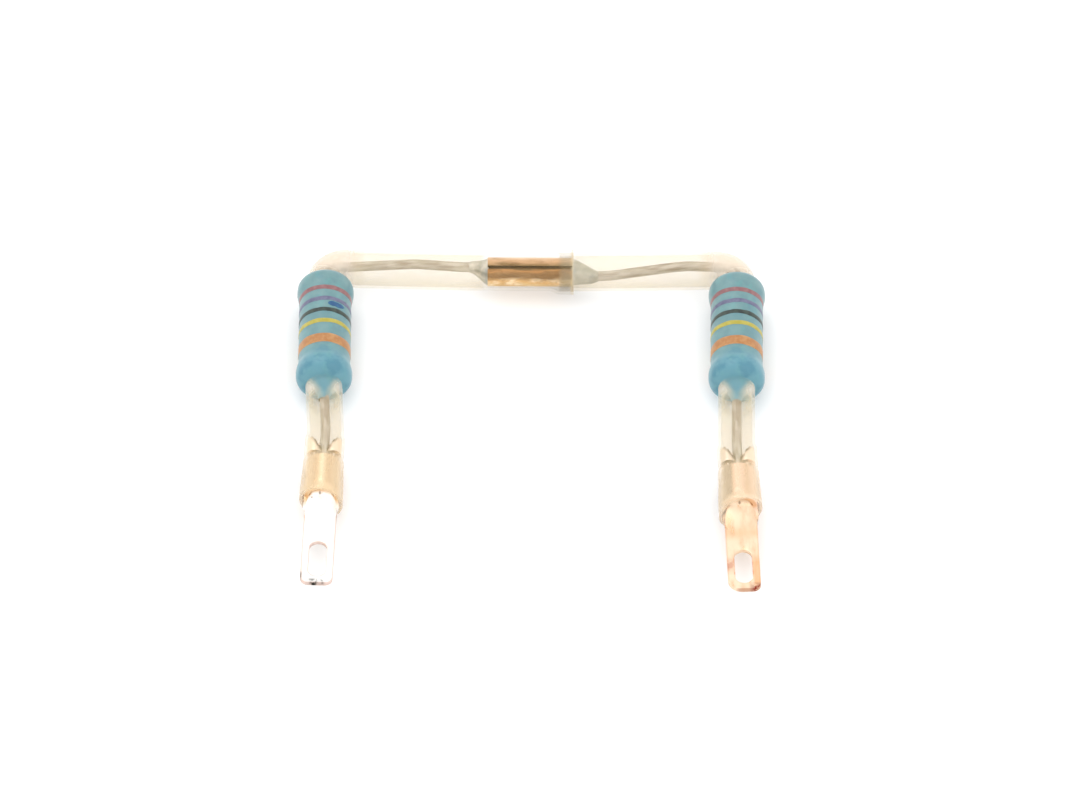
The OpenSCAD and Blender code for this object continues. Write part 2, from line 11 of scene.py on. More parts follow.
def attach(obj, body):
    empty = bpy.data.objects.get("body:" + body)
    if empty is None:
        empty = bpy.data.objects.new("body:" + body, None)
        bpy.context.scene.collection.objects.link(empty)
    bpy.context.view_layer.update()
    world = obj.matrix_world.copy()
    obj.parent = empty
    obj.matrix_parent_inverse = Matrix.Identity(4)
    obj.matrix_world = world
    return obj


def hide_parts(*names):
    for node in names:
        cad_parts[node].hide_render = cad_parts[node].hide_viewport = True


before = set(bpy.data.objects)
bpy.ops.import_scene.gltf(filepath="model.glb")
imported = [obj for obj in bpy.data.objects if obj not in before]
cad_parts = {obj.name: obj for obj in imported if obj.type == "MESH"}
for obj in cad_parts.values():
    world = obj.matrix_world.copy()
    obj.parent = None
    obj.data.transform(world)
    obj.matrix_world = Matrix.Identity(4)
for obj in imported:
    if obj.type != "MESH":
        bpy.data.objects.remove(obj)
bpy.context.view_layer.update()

bl_info = {
    "name": "Resistor pair",
    "version": (1, 0, 0),
    "blender": (4, 5, 0),
    "location": "View3D > Sidebar > Resistor pair",
    "description": "Builds two sleeved axial resistors in series with slotted solder tabs",
    "category": "Add Mesh",
}

MM = 0.001
LEFT, RIGHT = -1, 1
SIDE_NAMES = {LEFT: "left", RIGHT: "right"}
TOUCH = 1e-7  # points closer than this are one
STATION = 0.12 * MM  # length of a wire or sleeve between two rings of points


# Settings


def length(name, text, millimetres):
    return FloatProperty(name=name, description=text, default=millimetres * MM, unit="LENGTH", precision=5)


def srgb(*levels):
    """Linear colour of an 8-bit display colour."""
    shares = [level / 255 for level in levels]
    return tuple(c / 12.92 if c <= 0.04045 else ((c + 0.055) / 1.055) ** 2.4 for c in shares)


def tint(name, text, *levels):
    return FloatVectorProperty(
        name=name, description=text, default=srgb(*levels), subtype="COLOR", min=0.0, max=1.0, precision=4
    )


class BodySettings(PropertyGroup):
    """Sizes of the lacquered resistor bodies and their paint rings."""

    leg_x: length("Leg offset", "Distance of a resistor's axis from the middle", 14.55)
    middle_y: length("Body middle", "Place of the bodies' middle along Y", 7.92698)
    axis_z: length("Axis height", "Height of every wire's axis over the floor", 2.0)
    bulge_r: length("Bulge radius", "Radius over the end caps", 2.0)
    waist_r: length("Waist radius", "Radius between the end caps", 1.84)
    bulge_at: length("Bulge place", "Distance of a bulge from the body's middle", 3.8)
    shoulder: length("Shoulder", "Length of the rise from waist to bulge", 1.0)
    dome: length("Dome", "Length of the domed end beyond a bulge", 1.2)
    dome_power: FloatProperty(name="Dome fullness", description="2 is an ellipse, more is full", default=3.0)
    upper_creep: length("Upper creep", "Length of lacquer that creeps along a lead towards the bridge", 0.3)
    lower_creep: length("Lower creep", "Length of lacquer that creeps along a lead towards the tab", 1.3)
    creep_r: length("Creep radius", "Radius at which the lacquer leaves the dome for the lead", 1.0)
    proud: length("Paint height", "Height of a paint ring above the lacquer", 0.015)


class ColourSettings(PropertyGroup):
    """Dark and light tones of the lacquer, the paint rings and the ink."""

    lacquer_dark: tint("Lacquer, dark", "Darker tone of the lacquer", 92, 132, 137)
    lacquer_light: tint("Lacquer, light", "Lighter tone of the lacquer", 110, 146, 147)
    red_dark: tint("Red, dark", "Darker tone of the red ring", 128, 82, 85)
    red_light: tint("Red, light", "Lighter tone of the red ring", 146, 106, 105)
    violet_dark: tint("Violet, dark", "Darker tone of the violet ring", 88, 90, 118)
    violet_light: tint("Violet, light", "Lighter tone of the violet ring", 110, 112, 136)
    black_dark: tint("Black, dark", "Darker tone of the black ring", 30, 42, 38)
    black_light: tint("Black, light", "Lighter tone of the black ring", 56, 70, 62)
    yellow_dark: tint("Yellow, dark", "Darker tone of the yellow ring", 164, 152, 50)
    yellow_light: tint("Yellow, light", "Lighter tone of the yellow ring", 180, 168, 78)
    tolerance_dark: tint("Tolerance, dark", "Darker tone of the wide brown ring", 168, 112, 60)
    tolerance_light: tint("Tolerance, light", "Lighter tone of the wide brown ring", 184, 136, 86)
    ink_dark: tint("Ink, dark", "Darker tone of the ink dab", 18, 74, 120)
    ink_light: tint("Ink, light", "Lighter tone of the ink dab", 40, 100, 138)


class WireSettings(PropertyGroup):
    """Sizes of the lead wires."""

    radius: length("Wire radius", "Radius of a lead", 0.35)
    cap_end: length("Weld place", "Distance of a lead's weld from the body's middle", 4.75)
    bridge_at: length("Bridge place", "Distance of the bridge's axis from the body's middle", 6.36855)
    bow: length("Bow", "Depth of the bridge's slight bow towards the tabs", 0.28)
    corner_r: length("Corner radius", "Bend radius of a lead at its corner", 1.0)
    curve_r: length("Curve radius", "Bend radius of a lead's gentle curves", 8.0)
    lane: length("Lane", "Distance of a lead from the bridge's axis inside the splice", 0.4)


class SleeveSettings(PropertyGroup):
    """Sizes of the insulating sleeves."""

    wall: length("Wall", "Wall of a sleeve", 0.2)
    bridge_r: length("Bridge radius", "Outer radius of a bridge sleeve", 1.35)
    lap_r: length("Lap radius", "Outer radius of the left sleeve over the right one's end", 1.59)
    lap_start: length("Lap start", "Place along X at which the lap starts", 1.98)
    lap_end: length("Lap end", "Place along X at which the lap ends", 2.98)
    lap_flare: length("Lap flare", "Length over which the left sleeve stretches", 0.7)
    terminal_r: length("Terminal radius", "Outer radius of a terminal sleeve along the bare lead", 1.3)


class SpliceSettings(PropertyGroup):
    """Sizes of the soldered splice."""

    start: length("Start", "Place along X at which the copper sleeve starts", -3.1)
    end: length("End", "Place along X at which the copper sleeve ends", 2.9)
    radius: length("Radius", "Outer radius of the copper sleeve", 1.025)
    wall: length("Wall", "Sheet of the copper sleeve", 0.2)
    left_cone: length("Left cone", "Length of the left solder cone", 1.2)
    right_cone: length("Right cone", "Length of the right solder cone", 1.7)


class TabSettings(PropertyGroup):
    """Sizes of the crimped tab terminals."""

    sheet: length("Sheet", "Thickness of the stamped strip", 0.3)
    barrel_r: length("Barrel radius", "Outer radius of the rolled barrel", 1.2)
    scroll: length("Grip", "Length of the grip scrolls", 1.3)
    barrel_start: length("Barrel start", "Distance of the barrel from the terminal's rear end", 2.2)
    barrel_end: length("Barrel end", "Distance of the barrel's front from the terminal's rear end", 5.2)
    blade_start: length("Blade start", "Distance of the blade from the terminal's rear end", 6.2)
    blade_end: length("Blade end", "Distance of the blade's end from the terminal's rear end", 13.0)
    blade_w: length("Blade width", "Width of the blade", 2.28)
    slot_w: length("Slot width", "Width of the blade's slot", 1.24)
    slot_len: length("Slot length", "Length of the blade's slot", 3.25)
    web: length("Web", "Metal between the slot and the blade's end", 0.6)
    bend: length("Lead run", "Length of lead between its knee and the terminal", 1.0)


class StageSettings(PropertyGroup):
    """Camera, light and floor."""

    target: FloatVectorProperty(
        name="Target", description="Point that the camera looks at", default=(0.7 * MM, 1.3 * MM, 2 * MM),
        unit="LENGTH",
    )
    distance: length("Distance", "Distance of the camera from its target", 1600)
    elevation: FloatProperty(
        name="Elevation", description="Angle of the camera over the floor", default=math.radians(48),
        subtype="ANGLE",
    )
    azimuth: FloatProperty(
        name="Azimuth", description="Turn of the camera round the object", default=math.radians(0.42),
        subtype="ANGLE",
    )
    lens: FloatProperty(name="Lens", description="Focal length in millimetres", default=757.2)
    sensor: FloatProperty(name="Sensor", description="Width of the sensor in millimetres", default=36)
    sky: FloatProperty(name="Sky", description="Strength of the even white light", default=1.28)


# Modelling helpers


def only(obj):
    """Makes obj the one selected and active object."""
    bpy.ops.object.select_all(action="DESELECT")
    obj.select_set(True)
    bpy.context.view_layer.objects.active = obj


def edit(obj):
    only(obj)
    bpy.ops.object.mode_set(mode="EDIT")


def edit_all(obj):
    """Starts edit mode with all of obj selected."""
    edit(obj)
    bpy.ops.mesh.select_all(action="SELECT")


def leave():
    bpy.ops.object.mode_set(mode="OBJECT")


def apply_modifier(obj, name, kind, **values):
    only(obj)
    modifier = obj.modifiers.new(name, kind)
    for key, value in values.items():
        setattr(modifier, key, value)
    bpy.ops.object.modifier_apply(modifier=modifier.name)


def select_by(obj, test):
    """Selects the vertices of obj that pass a test of their place, in edit mode on return."""
    edit(obj)
    bpy.ops.mesh.select_mode(type="VERT")
    bpy.ops.mesh.select_all(action="DESELECT")
    leave()
    for vertex in obj.data.vertices:
        vertex.select = test(vertex.co)
    edit(obj)


def ring_stack(name, stations, sides=64, closed=False):
    """A round form along +X, extruded through stations.

    A station is a place along X and a radius, and can go on with a side offset, an upright radius and a lift.
    """

    def read(along, wide, offset=0, tall=None, lift=0):
        return Vector((along, offset, lift)), wide, wide if tall is None else tall

    place, wide, tall = read(*stations[0])
    bpy.ops.object.select_all(action="DESELECT")
    bpy.ops.mesh.primitive_circle_add(
        vertices=sides, radius=wide, location=(0, 0, 0), rotation=(0, math.radians(90), 0)
    )
    obj = bpy.context.object
    obj.name = obj.data.name = name
    bpy.ops.object.transform_apply(location=True, rotation=True, scale=True)
    edit_all(obj)
    bpy.ops.transform.translate(value=place)
    if closed:
        bpy.ops.mesh.edge_face_add()
    if tall != wide:
        bpy.ops.transform.resize(value=(1, 1, tall / wide), center_override=place)
    for station in stations[1:]:
        target, new_wide, new_tall = read(*station)
        bpy.ops.mesh.extrude_region_move(TRANSFORM_OT_translate={"value": target - place})
        bpy.ops.transform.resize(value=(1, new_wide / wide, new_tall / tall), center_override=target)
        place, wide, tall = target, new_wide, new_tall
    leave()
    tidy_mesh(obj)
    return obj


def tidy_mesh(obj):
    """Merges doubled points and turns the faces outward."""
    edit_all(obj)
    bpy.ops.mesh.remove_doubles(threshold=TOUCH)
    bpy.ops.mesh.normals_make_consistent(inside=False)
    leave()


def close_ring(obj):
    """Bridges the two open ends of a ring, so that it is a closed solid."""
    edit(obj)
    bpy.ops.mesh.select_all(action="DESELECT")
    bpy.ops.mesh.select_mode(type="EDGE")
    bpy.ops.mesh.select_non_manifold(extend=False)
    bpy.ops.mesh.bridge_edge_loops()
    leave()
    tidy_mesh(obj)


def ruffle(obj, grain, strength, middle=0.5, directions=("NORMAL",)):
    """Moves the points of obj by a cloudy pattern."""
    texture = bpy.data.textures.new("clouds", "CLOUDS")
    texture.noise_scale = grain
    for direction in directions:
        apply_modifier(
            obj, "Ruffle", "DISPLACE", texture=texture, texture_coords="LOCAL", direction=direction,
            strength=strength, mid_level=middle,
        )
    bpy.data.textures.remove(texture)


def smooth(obj, degrees=40):
    only(obj)
    bpy.ops.object.shade_smooth_by_angle(angle=math.radians(degrees))


def keep_place(obj):
    """Stores each point's own place, in millimetres, for the materials."""
    store = obj.data.attributes.new("place", "FLOAT_VECTOR", "POINT")
    store.data.foreach_set("vector", [c / MM for v in obj.data.vertices for c in v.co])


def put(obj, matrix):
    """Moves obj to its place and leaves its object at the origin."""
    only(obj)
    obj.matrix_world = matrix
    bpy.ops.object.transform_apply(location=True, rotation=True, scale=True)


def leg_matrix(side, along=0.0):
    """Frame of a resistor: +X towards the tab, +Z up."""
    body = bpy.context.scene.rp_body
    origin = Vector((side * body.leg_x, body.middle_y - along, body.axis_z))
    return Matrix.Translation(origin) @ Matrix.Rotation(math.radians(-90), 4, "Z")


def bowed(points):
    """A flat path of the bridge with the bridge's slight bow towards the tabs."""
    scene = bpy.context.scene
    half = scene.rp_body.leg_x
    return [Vector((p.x, p.y - scene.rp_wire.bow * max(0.0, 1 - (p.x / half) ** 2))) for p in points]


def bridge_matrix():
    """Frame of the bridge's middle: +X along the bridge, +Z up."""
    scene = bpy.context.scene
    middle = scene.rp_body.middle_y + scene.rp_wire.bridge_at - scene.rp_wire.bow
    return Matrix.Translation((0, middle, scene.rp_body.axis_z))


# What differs between the legs: a lead's length past its bulge, its side step, the terminal's turn,
# the blade's tilt and the slant of the sleeve's cut
LEAD_LEN = {LEFT: 6.3 * MM, RIGHT: 7.0 * MM}
LEAD_STEP = {LEFT: 0.18 * MM, RIGHT: 0.0}
SPLAY = {LEFT: math.radians(-2.0), RIGHT: math.radians(2.5)}
BLADE_LIFT = {LEFT: 0.0, RIGHT: math.radians(3.0)}
SLEEVE_CUT = {LEFT: math.radians(-9.0), RIGHT: math.radians(15.0)}
# Shape of both terminals: height of the blade's middle, corner of its tip, and half width and narrowing
# of the mouth between the grip scrolls
FLAT_Z = -0.5 * MM
TIP_CORNER = 0.56 * MM
GRIP_MOUTH = 0.85 * MM
GRIP_TAPER = 0.75 * MM


def knee_at(side):
    """Distance of a terminal lead's knee from the body's middle."""
    scene = bpy.context.scene
    return scene.rp_body.bulge_at + LEAD_LEN[side] - scene.rp_tab.bend


def terminal_matrix(side):
    """Frame of a terminal: +X from its rear end towards the tab, +Z up."""
    turn = Matrix.Translation((0, LEAD_STEP[side], 0)) @ Matrix.Rotation(SPLAY[side], 4, "Z")
    return leg_matrix(side, knee_at(side)) @ turn @ Matrix.Translation((bpy.context.scene.rp_tab.bend, 0, 0))


def terminal_path(side, start, reach):
    """Path from a place on a leg's axis to a distance past the knee, with the lead's side step."""
    scene = bpy.context.scene
    leg_x = side * scene.rp_body.leg_x
    knee = Vector((leg_x + LEAD_STEP[side], scene.rp_body.middle_y - knee_at(side)))
    end = knee + reach * Vector((math.sin(SPLAY[side]), -math.cos(SPLAY[side])))
    return rounded([(leg_x, start), knee, end], [scene.rp_wire.curve_r])


def rounded(points, radii, step=8.0, straight=1e-6):
    """Points of a flat path whose corners are rounded in steps of some degrees."""
    way = [Vector(p) for p in points]
    out = [way[0]]
    for i in range(1, len(way) - 1):
        before = (way[i] - way[i - 1]).normalized()
        after = (way[i + 1] - way[i]).normalized()
        angle = before.angle_signed(after) * -1
        if abs(angle) < straight:
            out.append(way[i])
            continue
        steps = max(3, math.ceil(abs(math.degrees(angle)) / step))
        start = way[i] - before * radii[i - 1] * math.tan(abs(angle) / 2)
        normal = Vector((-before.y, before.x)) * math.copysign(1, angle)
        centre = start + normal * radii[i - 1]
        for k in range(steps + 1):
            turn = Matrix.Rotation(angle * k / steps, 2)
            out.append(centre + turn @ (start - centre))
    out.append(way[-1])
    return out


def evenly(points, step=0.15 * MM):
    """Points at even steps along a flat path."""
    whole = path_length(points)
    count = math.ceil(whole / step)
    out, done, i = [points[0]], 0.0, 0
    lengths = [(b - a).length for a, b in zip(points, points[1:])]
    for k in range(1, count):
        goal = whole * k / count
        while done + lengths[i] < goal:
            done += lengths[i]
            i += 1
        out.append(points[i].lerp(points[i + 1], (goal - done) / lengths[i]))
    return out + [points[-1]]


def path_curve(name, points, height):
    """A poly curve through flat points at a height."""
    curve = bpy.data.curves.new(name, "CURVE")
    curve.dimensions = "3D"
    curve.twist_mode = "Z_UP"
    spline = curve.splines.new("POLY")
    spline.points.add(len(points) - 1)
    for point, (x, y) in zip(spline.points, points):
        point.co = (x, y, height, 1)
    obj = bpy.data.objects.new(name, curve)
    bpy.context.collection.objects.link(obj)
    return obj


def follow(obj, points, height):
    """Bends a straight form along +X to a path and applies it."""
    path = path_curve(obj.name + "_path", evenly(points), height)
    apply_modifier(obj, "Path", "CURVE", object=path, deform_axis="POS_X")
    curve = path.data
    bpy.data.objects.remove(path)
    bpy.data.curves.remove(curve)


def path_length(points):
    return sum((b - a).length for a, b in zip(points, points[1:]))


def rise(t):
    """Share of a smooth rise from 0 to 1."""
    return (1 - math.cos(math.pi * max(0.0, min(1.0, t)))) / 2


def fade(distance, start, end):
    """Share that falls smoothly from 1 at one distance to 0 at another."""
    return rise((end - distance) / (end - start))


def coat(obj, material):
    """Makes a material the only one of obj."""
    obj.data.materials.clear()
    obj.data.materials.append(material)


def finish_piece(obj, material, slot, *nodes):
    """Gives a new piece its material and its place in the frame."""
    coat(obj, material)
    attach(obj, "root")
    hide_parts(*nodes)


# Materials


FAR = 100.0  # a limit past every piece, in millimetres


def group_of(name, inputs, outputs):
    """A new node group with its sockets, its input node and its output node."""
    tree = bpy.data.node_groups.new(name, "ShaderNodeTree")
    for label, kind, default in inputs:
        socket = tree.interface.new_socket(label, in_out="INPUT", socket_type=kind)
        if default is not None:
            socket.default_value = default
    for label, kind in outputs:
        tree.interface.new_socket(label, in_out="OUTPUT", socket_type=kind)
    return tree, tree.nodes.new("NodeGroupInput"), tree.nodes.new("NodeGroupOutput")


def mottle_group():
    """Blotchy change between two colours, with the mask that makes it."""
    tree, given, out = group_of(
        "mottle",
        [
            ("Vector", "NodeSocketVector", None),
            ("Scale", "NodeSocketFloat", 1.0),
            ("Low", "NodeSocketFloat", 0.4),
            ("High", "NodeSocketFloat", 0.65),
            ("Dark", "NodeSocketColor", (0, 0, 0, 1)),
            ("Light", "NodeSocketColor", (1, 1, 1, 1)),
        ],
        [("Color", "NodeSocketColor"), ("Mask", "NodeSocketFloat")],
    )
    noise = tree.nodes.new("ShaderNodeTexNoise")
    noise.inputs["Detail"].default_value = 5
    noise.inputs["Roughness"].default_value = 0.55
    span = tree.nodes.new("ShaderNodeMapRange")
    span.interpolation_type = "SMOOTHSTEP"
    mix = tree.nodes.new("ShaderNodeMix")
    mix.data_type = "RGBA"
    for start, end in (
        (given.outputs["Vector"], noise.inputs["Vector"]),
        (given.outputs["Scale"], noise.inputs["Scale"]),
        (noise.outputs["Fac"], span.inputs["Value"]),
        (given.outputs["Low"], span.inputs["From Min"]),
        (given.outputs["High"], span.inputs["From Max"]),
        (span.outputs["Result"], mix.inputs["Factor"]),
        (given.outputs["Dark"], mix.inputs[MIX_A]),
        (given.outputs["Light"], mix.inputs[MIX_B]),
        (mix.outputs[MIX_RESULT], out.inputs["Color"]),
        (span.outputs["Result"], out.inputs["Mask"]),
    ):
        tree.links.new(start, end)
    return tree


def relief_group():
    """Fine surface relief as a normal, with the height that makes it."""
    tree, given, out = group_of(
        "relief",
        [
            ("Vector", "NodeSocketVector", None),
            ("Scale", "NodeSocketFloat", 4.0),
            ("Strength", "NodeSocketFloat", 0.1),
            ("Depth", "NodeSocketFloat", 0.02 * MM),
        ],
        [("Normal", "NodeSocketVector"), ("Height", "NodeSocketFloat")],
    )
    noise = tree.nodes.new("ShaderNodeTexNoise")
    noise.inputs["Detail"].default_value = 4
    bump = tree.nodes.new("ShaderNodeBump")
    for start, end in (
        (given.outputs["Vector"], noise.inputs["Vector"]),
        (given.outputs["Scale"], noise.inputs["Scale"]),
        (noise.outputs["Fac"], bump.inputs["Height"]),
        (given.outputs["Strength"], bump.inputs["Strength"]),
        (given.outputs["Depth"], bump.inputs["Distance"]),
        (bump.outputs["Normal"], out.inputs["Normal"]),
        (noise.outputs["Fac"], out.inputs["Height"]),
    ):
        tree.links.new(start, end)
    return tree


def zone_group():
    """Mask that is 1 between two values of a number, with soft edges."""
    tree, given, out = group_of(
        "zone",
        [
            ("Value", "NodeSocketFloat", 0.0),
            ("From", "NodeSocketFloat", 0.0),
            ("To", "NodeSocketFloat", 1.0),
            ("Soft", "NodeSocketFloat", 0.1),
        ],
        [("Mask", "NodeSocketFloat")],
    )

    def math_node(kind, a, b):
        node = tree.nodes.new("ShaderNodeMath")
        node.operation = kind
        node.use_clamp = kind == "DIVIDE"
        tree.links.new(a, node.inputs[0])
        tree.links.new(b, node.inputs[1])
        return node.outputs[0]

    value, soft = given.outputs["Value"], given.outputs["Soft"]
    up = math_node("DIVIDE", math_node("SUBTRACT", value, given.outputs["From"]), soft)
    down = math_node("DIVIDE", math_node("SUBTRACT", given.outputs["To"], value), soft)
    tree.links.new(math_node("MULTIPLY", up, down), out.inputs["Mask"])
    return tree


# Sockets of a Mix node that mixes colours
MIX_A, MIX_B, MIX_RESULT = 6, 7, 2
GROUP_MAKERS = {"mottle": mottle_group, "relief": relief_group, "zone": zone_group}


class Paint:
    """A material under construction: its shader, and short ways to add nodes to it."""

    groups = {}

    def __init__(self, name, color, roughness, metallic=0.0):
        self.material = bpy.data.materials.new(name)
        self.material.use_nodes = True
        self.nodes = self.material.node_tree.nodes
        self.links = self.material.node_tree.links
        self.shader = self.nodes["Principled BSDF"]
        self.set(Base_Color=(*color, 1), Roughness=roughness, Metallic=metallic)
        self.place = self.attribute("place")["Vector"]

    def join(self, socket, value):
        if isinstance(value, bpy.types.NodeSocket):
            self.links.new(value, socket)
        else:
            socket.default_value = value

    def set(self, **values):
        """Gives the shader's inputs their values."""
        for key, value in values.items():
            self.join(self.shader.inputs[key.replace("_", " ")], value)

    def finish(self, color, relief, uneven, smoothest, roughest):
        """Joins the colour, the relief and an uneven roughness, and gives the material."""
        self.set(Base_Color=color, Normal=relief, Roughness=self.span(uneven, smoothest, roughest))
        return self.material

    def attribute(self, name):
        """A piece's own stored value."""
        node = self.nodes.new("ShaderNodeAttribute")
        node.attribute_name = name
        return node.outputs

    def axis(self, name):
        """One coordinate of the stored place, in millimetres."""
        node = self.nodes.new("ShaderNodeSeparateXYZ")
        self.links.new(self.place, node.inputs[0])
        return node.outputs[name]

    def scaled(self, x, y, z):
        """The place vector stretched, for streaks."""
        node = self.nodes.new("ShaderNodeVectorMath")
        node.operation = "MULTIPLY"
        self.links.new(self.place, node.inputs[0])
        node.inputs[1].default_value = (x, y, z)
        return node.outputs[0]

    def group(self, kind, **values):
        if kind not in Paint.groups:
            Paint.groups[kind] = GROUP_MAKERS[kind]()
        node = self.nodes.new("ShaderNodeGroup")
        node.node_tree = Paint.groups[kind]
        for key, value in values.items():
            self.join(node.inputs[key], value)
        return node.outputs

    def mottle(self, scale, low, high, dark=(0, 0, 0), light=(1, 1, 1), vector=None):
        """Blotchy colour between two tones, and its mask."""
        made = self.group(
            "mottle", Vector=self.place if vector is None else vector, Scale=scale, Low=low, High=high,
            Dark=(*dark, 1), Light=(*light, 1),
        )
        return made["Color"], made["Mask"]

    def blotch(self, scale, low, high, vector=None):
        """Mask of blotches."""
        return self.mottle(scale, low, high, vector=vector)[1]

    def relief(self, scale, strength, depth, vector=None):
        """Normal of a fine relief whose depth is in millimetres."""
        return self.group(
            "relief", Vector=self.place if vector is None else vector, Scale=scale, Strength=strength,
            Depth=depth * MM,
        )["Normal"]

    def zone(self, value, start, end, soft):
        """Mask of the values between two limits."""
        return self.group("zone", Value=value, From=start, To=end, Soft=soft)["Mask"]

    def above(self, value, limit, soft):
        return self.zone(value, limit, FAR, soft)

    def below(self, value, limit, soft):
        return self.zone(value, -FAR, limit, soft)

    def math(self, kind, a, b=0.0, clamp=False):
        node = self.nodes.new("ShaderNodeMath")
        node.operation = kind
        node.use_clamp = clamp
        self.join(node.inputs[0], a)
        self.join(node.inputs[1], b)
        return node.outputs[0]

    def times(self, product, *others):
        for other in others:
            product = self.math("MULTIPLY", product, other)
        return product

    def plus(self, a, b):
        return self.math("ADD", a, b)

    def minus(self, a, b):
        return self.math("SUBTRACT", a, b)

    def most(self, a, b):
        return self.math("MAXIMUM", a, b)

    def size(self, a):
        return self.math("ABSOLUTE", a)

    def distance(self, a, b):
        """Length of a flat step."""
        return self.math("SQRT", self.plus(self.math("POWER", a, 2.0), self.math("POWER", b, 2.0)))

    def mix(self, factor, a, b):
        node = self.nodes.new("ShaderNodeMix")
        node.data_type = "RGBA"
        self.join(node.inputs["Factor"], factor)
        for socket, value in ((node.inputs[MIX_A], a), (node.inputs[MIX_B], b)):
            self.join(socket, value if isinstance(value, bpy.types.NodeSocket) else (*value, 1))
        return node.outputs[MIX_RESULT]

    def span(self, value, low, high):
        """A 0 to 1 value mapped to a range."""
        node = self.nodes.new("ShaderNodeMapRange")
        self.links.new(value, node.inputs["Value"])
        node.inputs["To Min"].default_value = low
        node.inputs["To Max"].default_value = high
        return node.outputs["Result"]

    def ramp(self, value, stops):
        """A 0 to 1 value turned to colours."""
        node = self.nodes.new("ShaderNodeValToRGB")
        self.links.new(value, node.inputs["Fac"])
        elements = node.color_ramp.elements
        for _ in range(len(stops) - len(elements)):
            elements.new(0.5)
        for element, (place, color) in zip(elements, stops):
            element.position = place
            element.color = (*color, 1)
        return node.outputs["Color"]


def lacquer_material(colours):
    """Light-blue lacquer, bluer and blotchier towards the tab."""
    paint = Paint("lacquer", srgb(116, 156, 164), 0.28)
    bluer, greener, darker = srgb(82, 144, 162), srgb(92, 150, 150), srgb(54, 116, 138)
    bulge_start, bulge_soft = 2.4, 1.2
    tone, uneven = paint.mottle(0.7, 0.35, 0.7, colours.lacquer_dark, colours.lacquer_light)
    lower = paint.above(paint.axis("X"), bulge_start, bulge_soft)
    blots = paint.blotch(1.0, 0.46, 0.64, paint.scaled(1.1, 0.9, 0.9))
    green = paint.blotch(1.3, 0.5, 0.66, paint.scaled(0.8, 1.3, 1.3))
    color = paint.mix(paint.times(lower, 0.7), tone, bluer)
    color = paint.mix(paint.times(green, 0.4), color, greener)
    color = paint.mix(paint.times(paint.span(lower, 0.25, 0.6), blots), color, darker)
    paint.set(Coat_Weight=0.25, Coat_Roughness=0.2)
    return paint.finish(color, paint.relief(1.2, 0.15, 0.02), uneven, 0.3, 0.42)


def ring_material(name, dark, light):
    """Brushed paint of a ring or of the ink dab."""
    paint = Paint(name, dark, 0.4)
    tone, uneven = paint.mottle(2.4, 0.35, 0.7, dark, light)
    return paint.finish(tone, paint.relief(6.0, 0.2, 0.01), uneven, 0.32, 0.48)


def wire_material():
    """Dull tinned wire with streaks along it."""
    paint = Paint("tinned_wire", srgb(196, 188, 174), 0.4, 1.0)
    dark, light = srgb(140, 131, 121), srgb(192, 185, 175)
    tone, uneven = paint.mottle(1.6, 0.3, 0.7, dark, light, paint.scaled(0.5, 3, 3))
    relief = paint.relief(3.0, 0.3, 0.01, paint.scaled(0.4, 4, 4))
    return paint.finish(tone, relief, uneven, 0.34, 0.52)


def sleeve_material():
    """Clear sleeve with a milky veil, thicker at edges and bends, and where it clings a painted tan of the
    metal inside.
    """
    paint = Paint("clear_sleeve", srgb(244, 222, 192), 0.25)
    kink, clear, cling = (paint.attribute(name)["Fac"] for name in ("kink", "clear", "cling"))
    dark, light = srgb(228, 200, 146), srgb(238, 220, 172)
    haze, uneven = paint.mottle(1.3, 0.35, 0.75, dark, light, paint.scaled(0.35, 1, 1))
    weight = paint.nodes.new("ShaderNodeLayerWeight")
    weight.inputs["Blend"].default_value = 0.3
    facing = weight.outputs["Facing"]
    veil = paint.plus(paint.times(facing, 0.14), paint.span(uneven, 0.1, 0.14))
    veil = paint.times(veil, paint.span(clear, 1.0, 0.12))
    # where the sleeve clings the veil grows opaque towards its edges: painted metal seen through the walls
    veil = paint.plus(veil, paint.times(cling, paint.span(facing, 0.14, 0.65)))
    veil = paint.math("ADD", veil, paint.times(kink, 0.5), clamp=True)
    seen = paint.nodes.new("ShaderNodeLightPath").outputs["Is Camera Ray"]
    veil = paint.times(veil, paint.span(seen, 0.2, 1.0))
    # painted tan of the metal seen through the walls, where the sleeve clings over the barrel and at the lap
    color = paint.mix(cling, haze, srgb(220, 196, 160))
    color = paint.mix(paint.math("MULTIPLY", kink, 2.0, clamp=True), color, srgb(236, 218, 196))
    paint.set(Alpha=veil)
    return paint.finish(color, paint.relief(1.6, 0.15, 0.02, paint.scaled(0.3, 1, 1)), uneven, 0.22, 0.36)


# Painted reflection and shade bands of the aged copper, from its lower edge in the view to its upper edge
COPPER_GLARE_BANDS = (
    (0.0, srgb(230, 196, 140)), (0.14, srgb(212, 166, 108)), (0.3, srgb(138, 102, 68)),
    (0.48, srgb(148, 110, 72)), (0.54, srgb(180, 128, 80)), (0.62, srgb(112, 88, 58)),
    (0.76, srgb(132, 104, 70)), (0.86, srgb(200, 158, 120)), (1.0, srgb(226, 192, 160)),
)


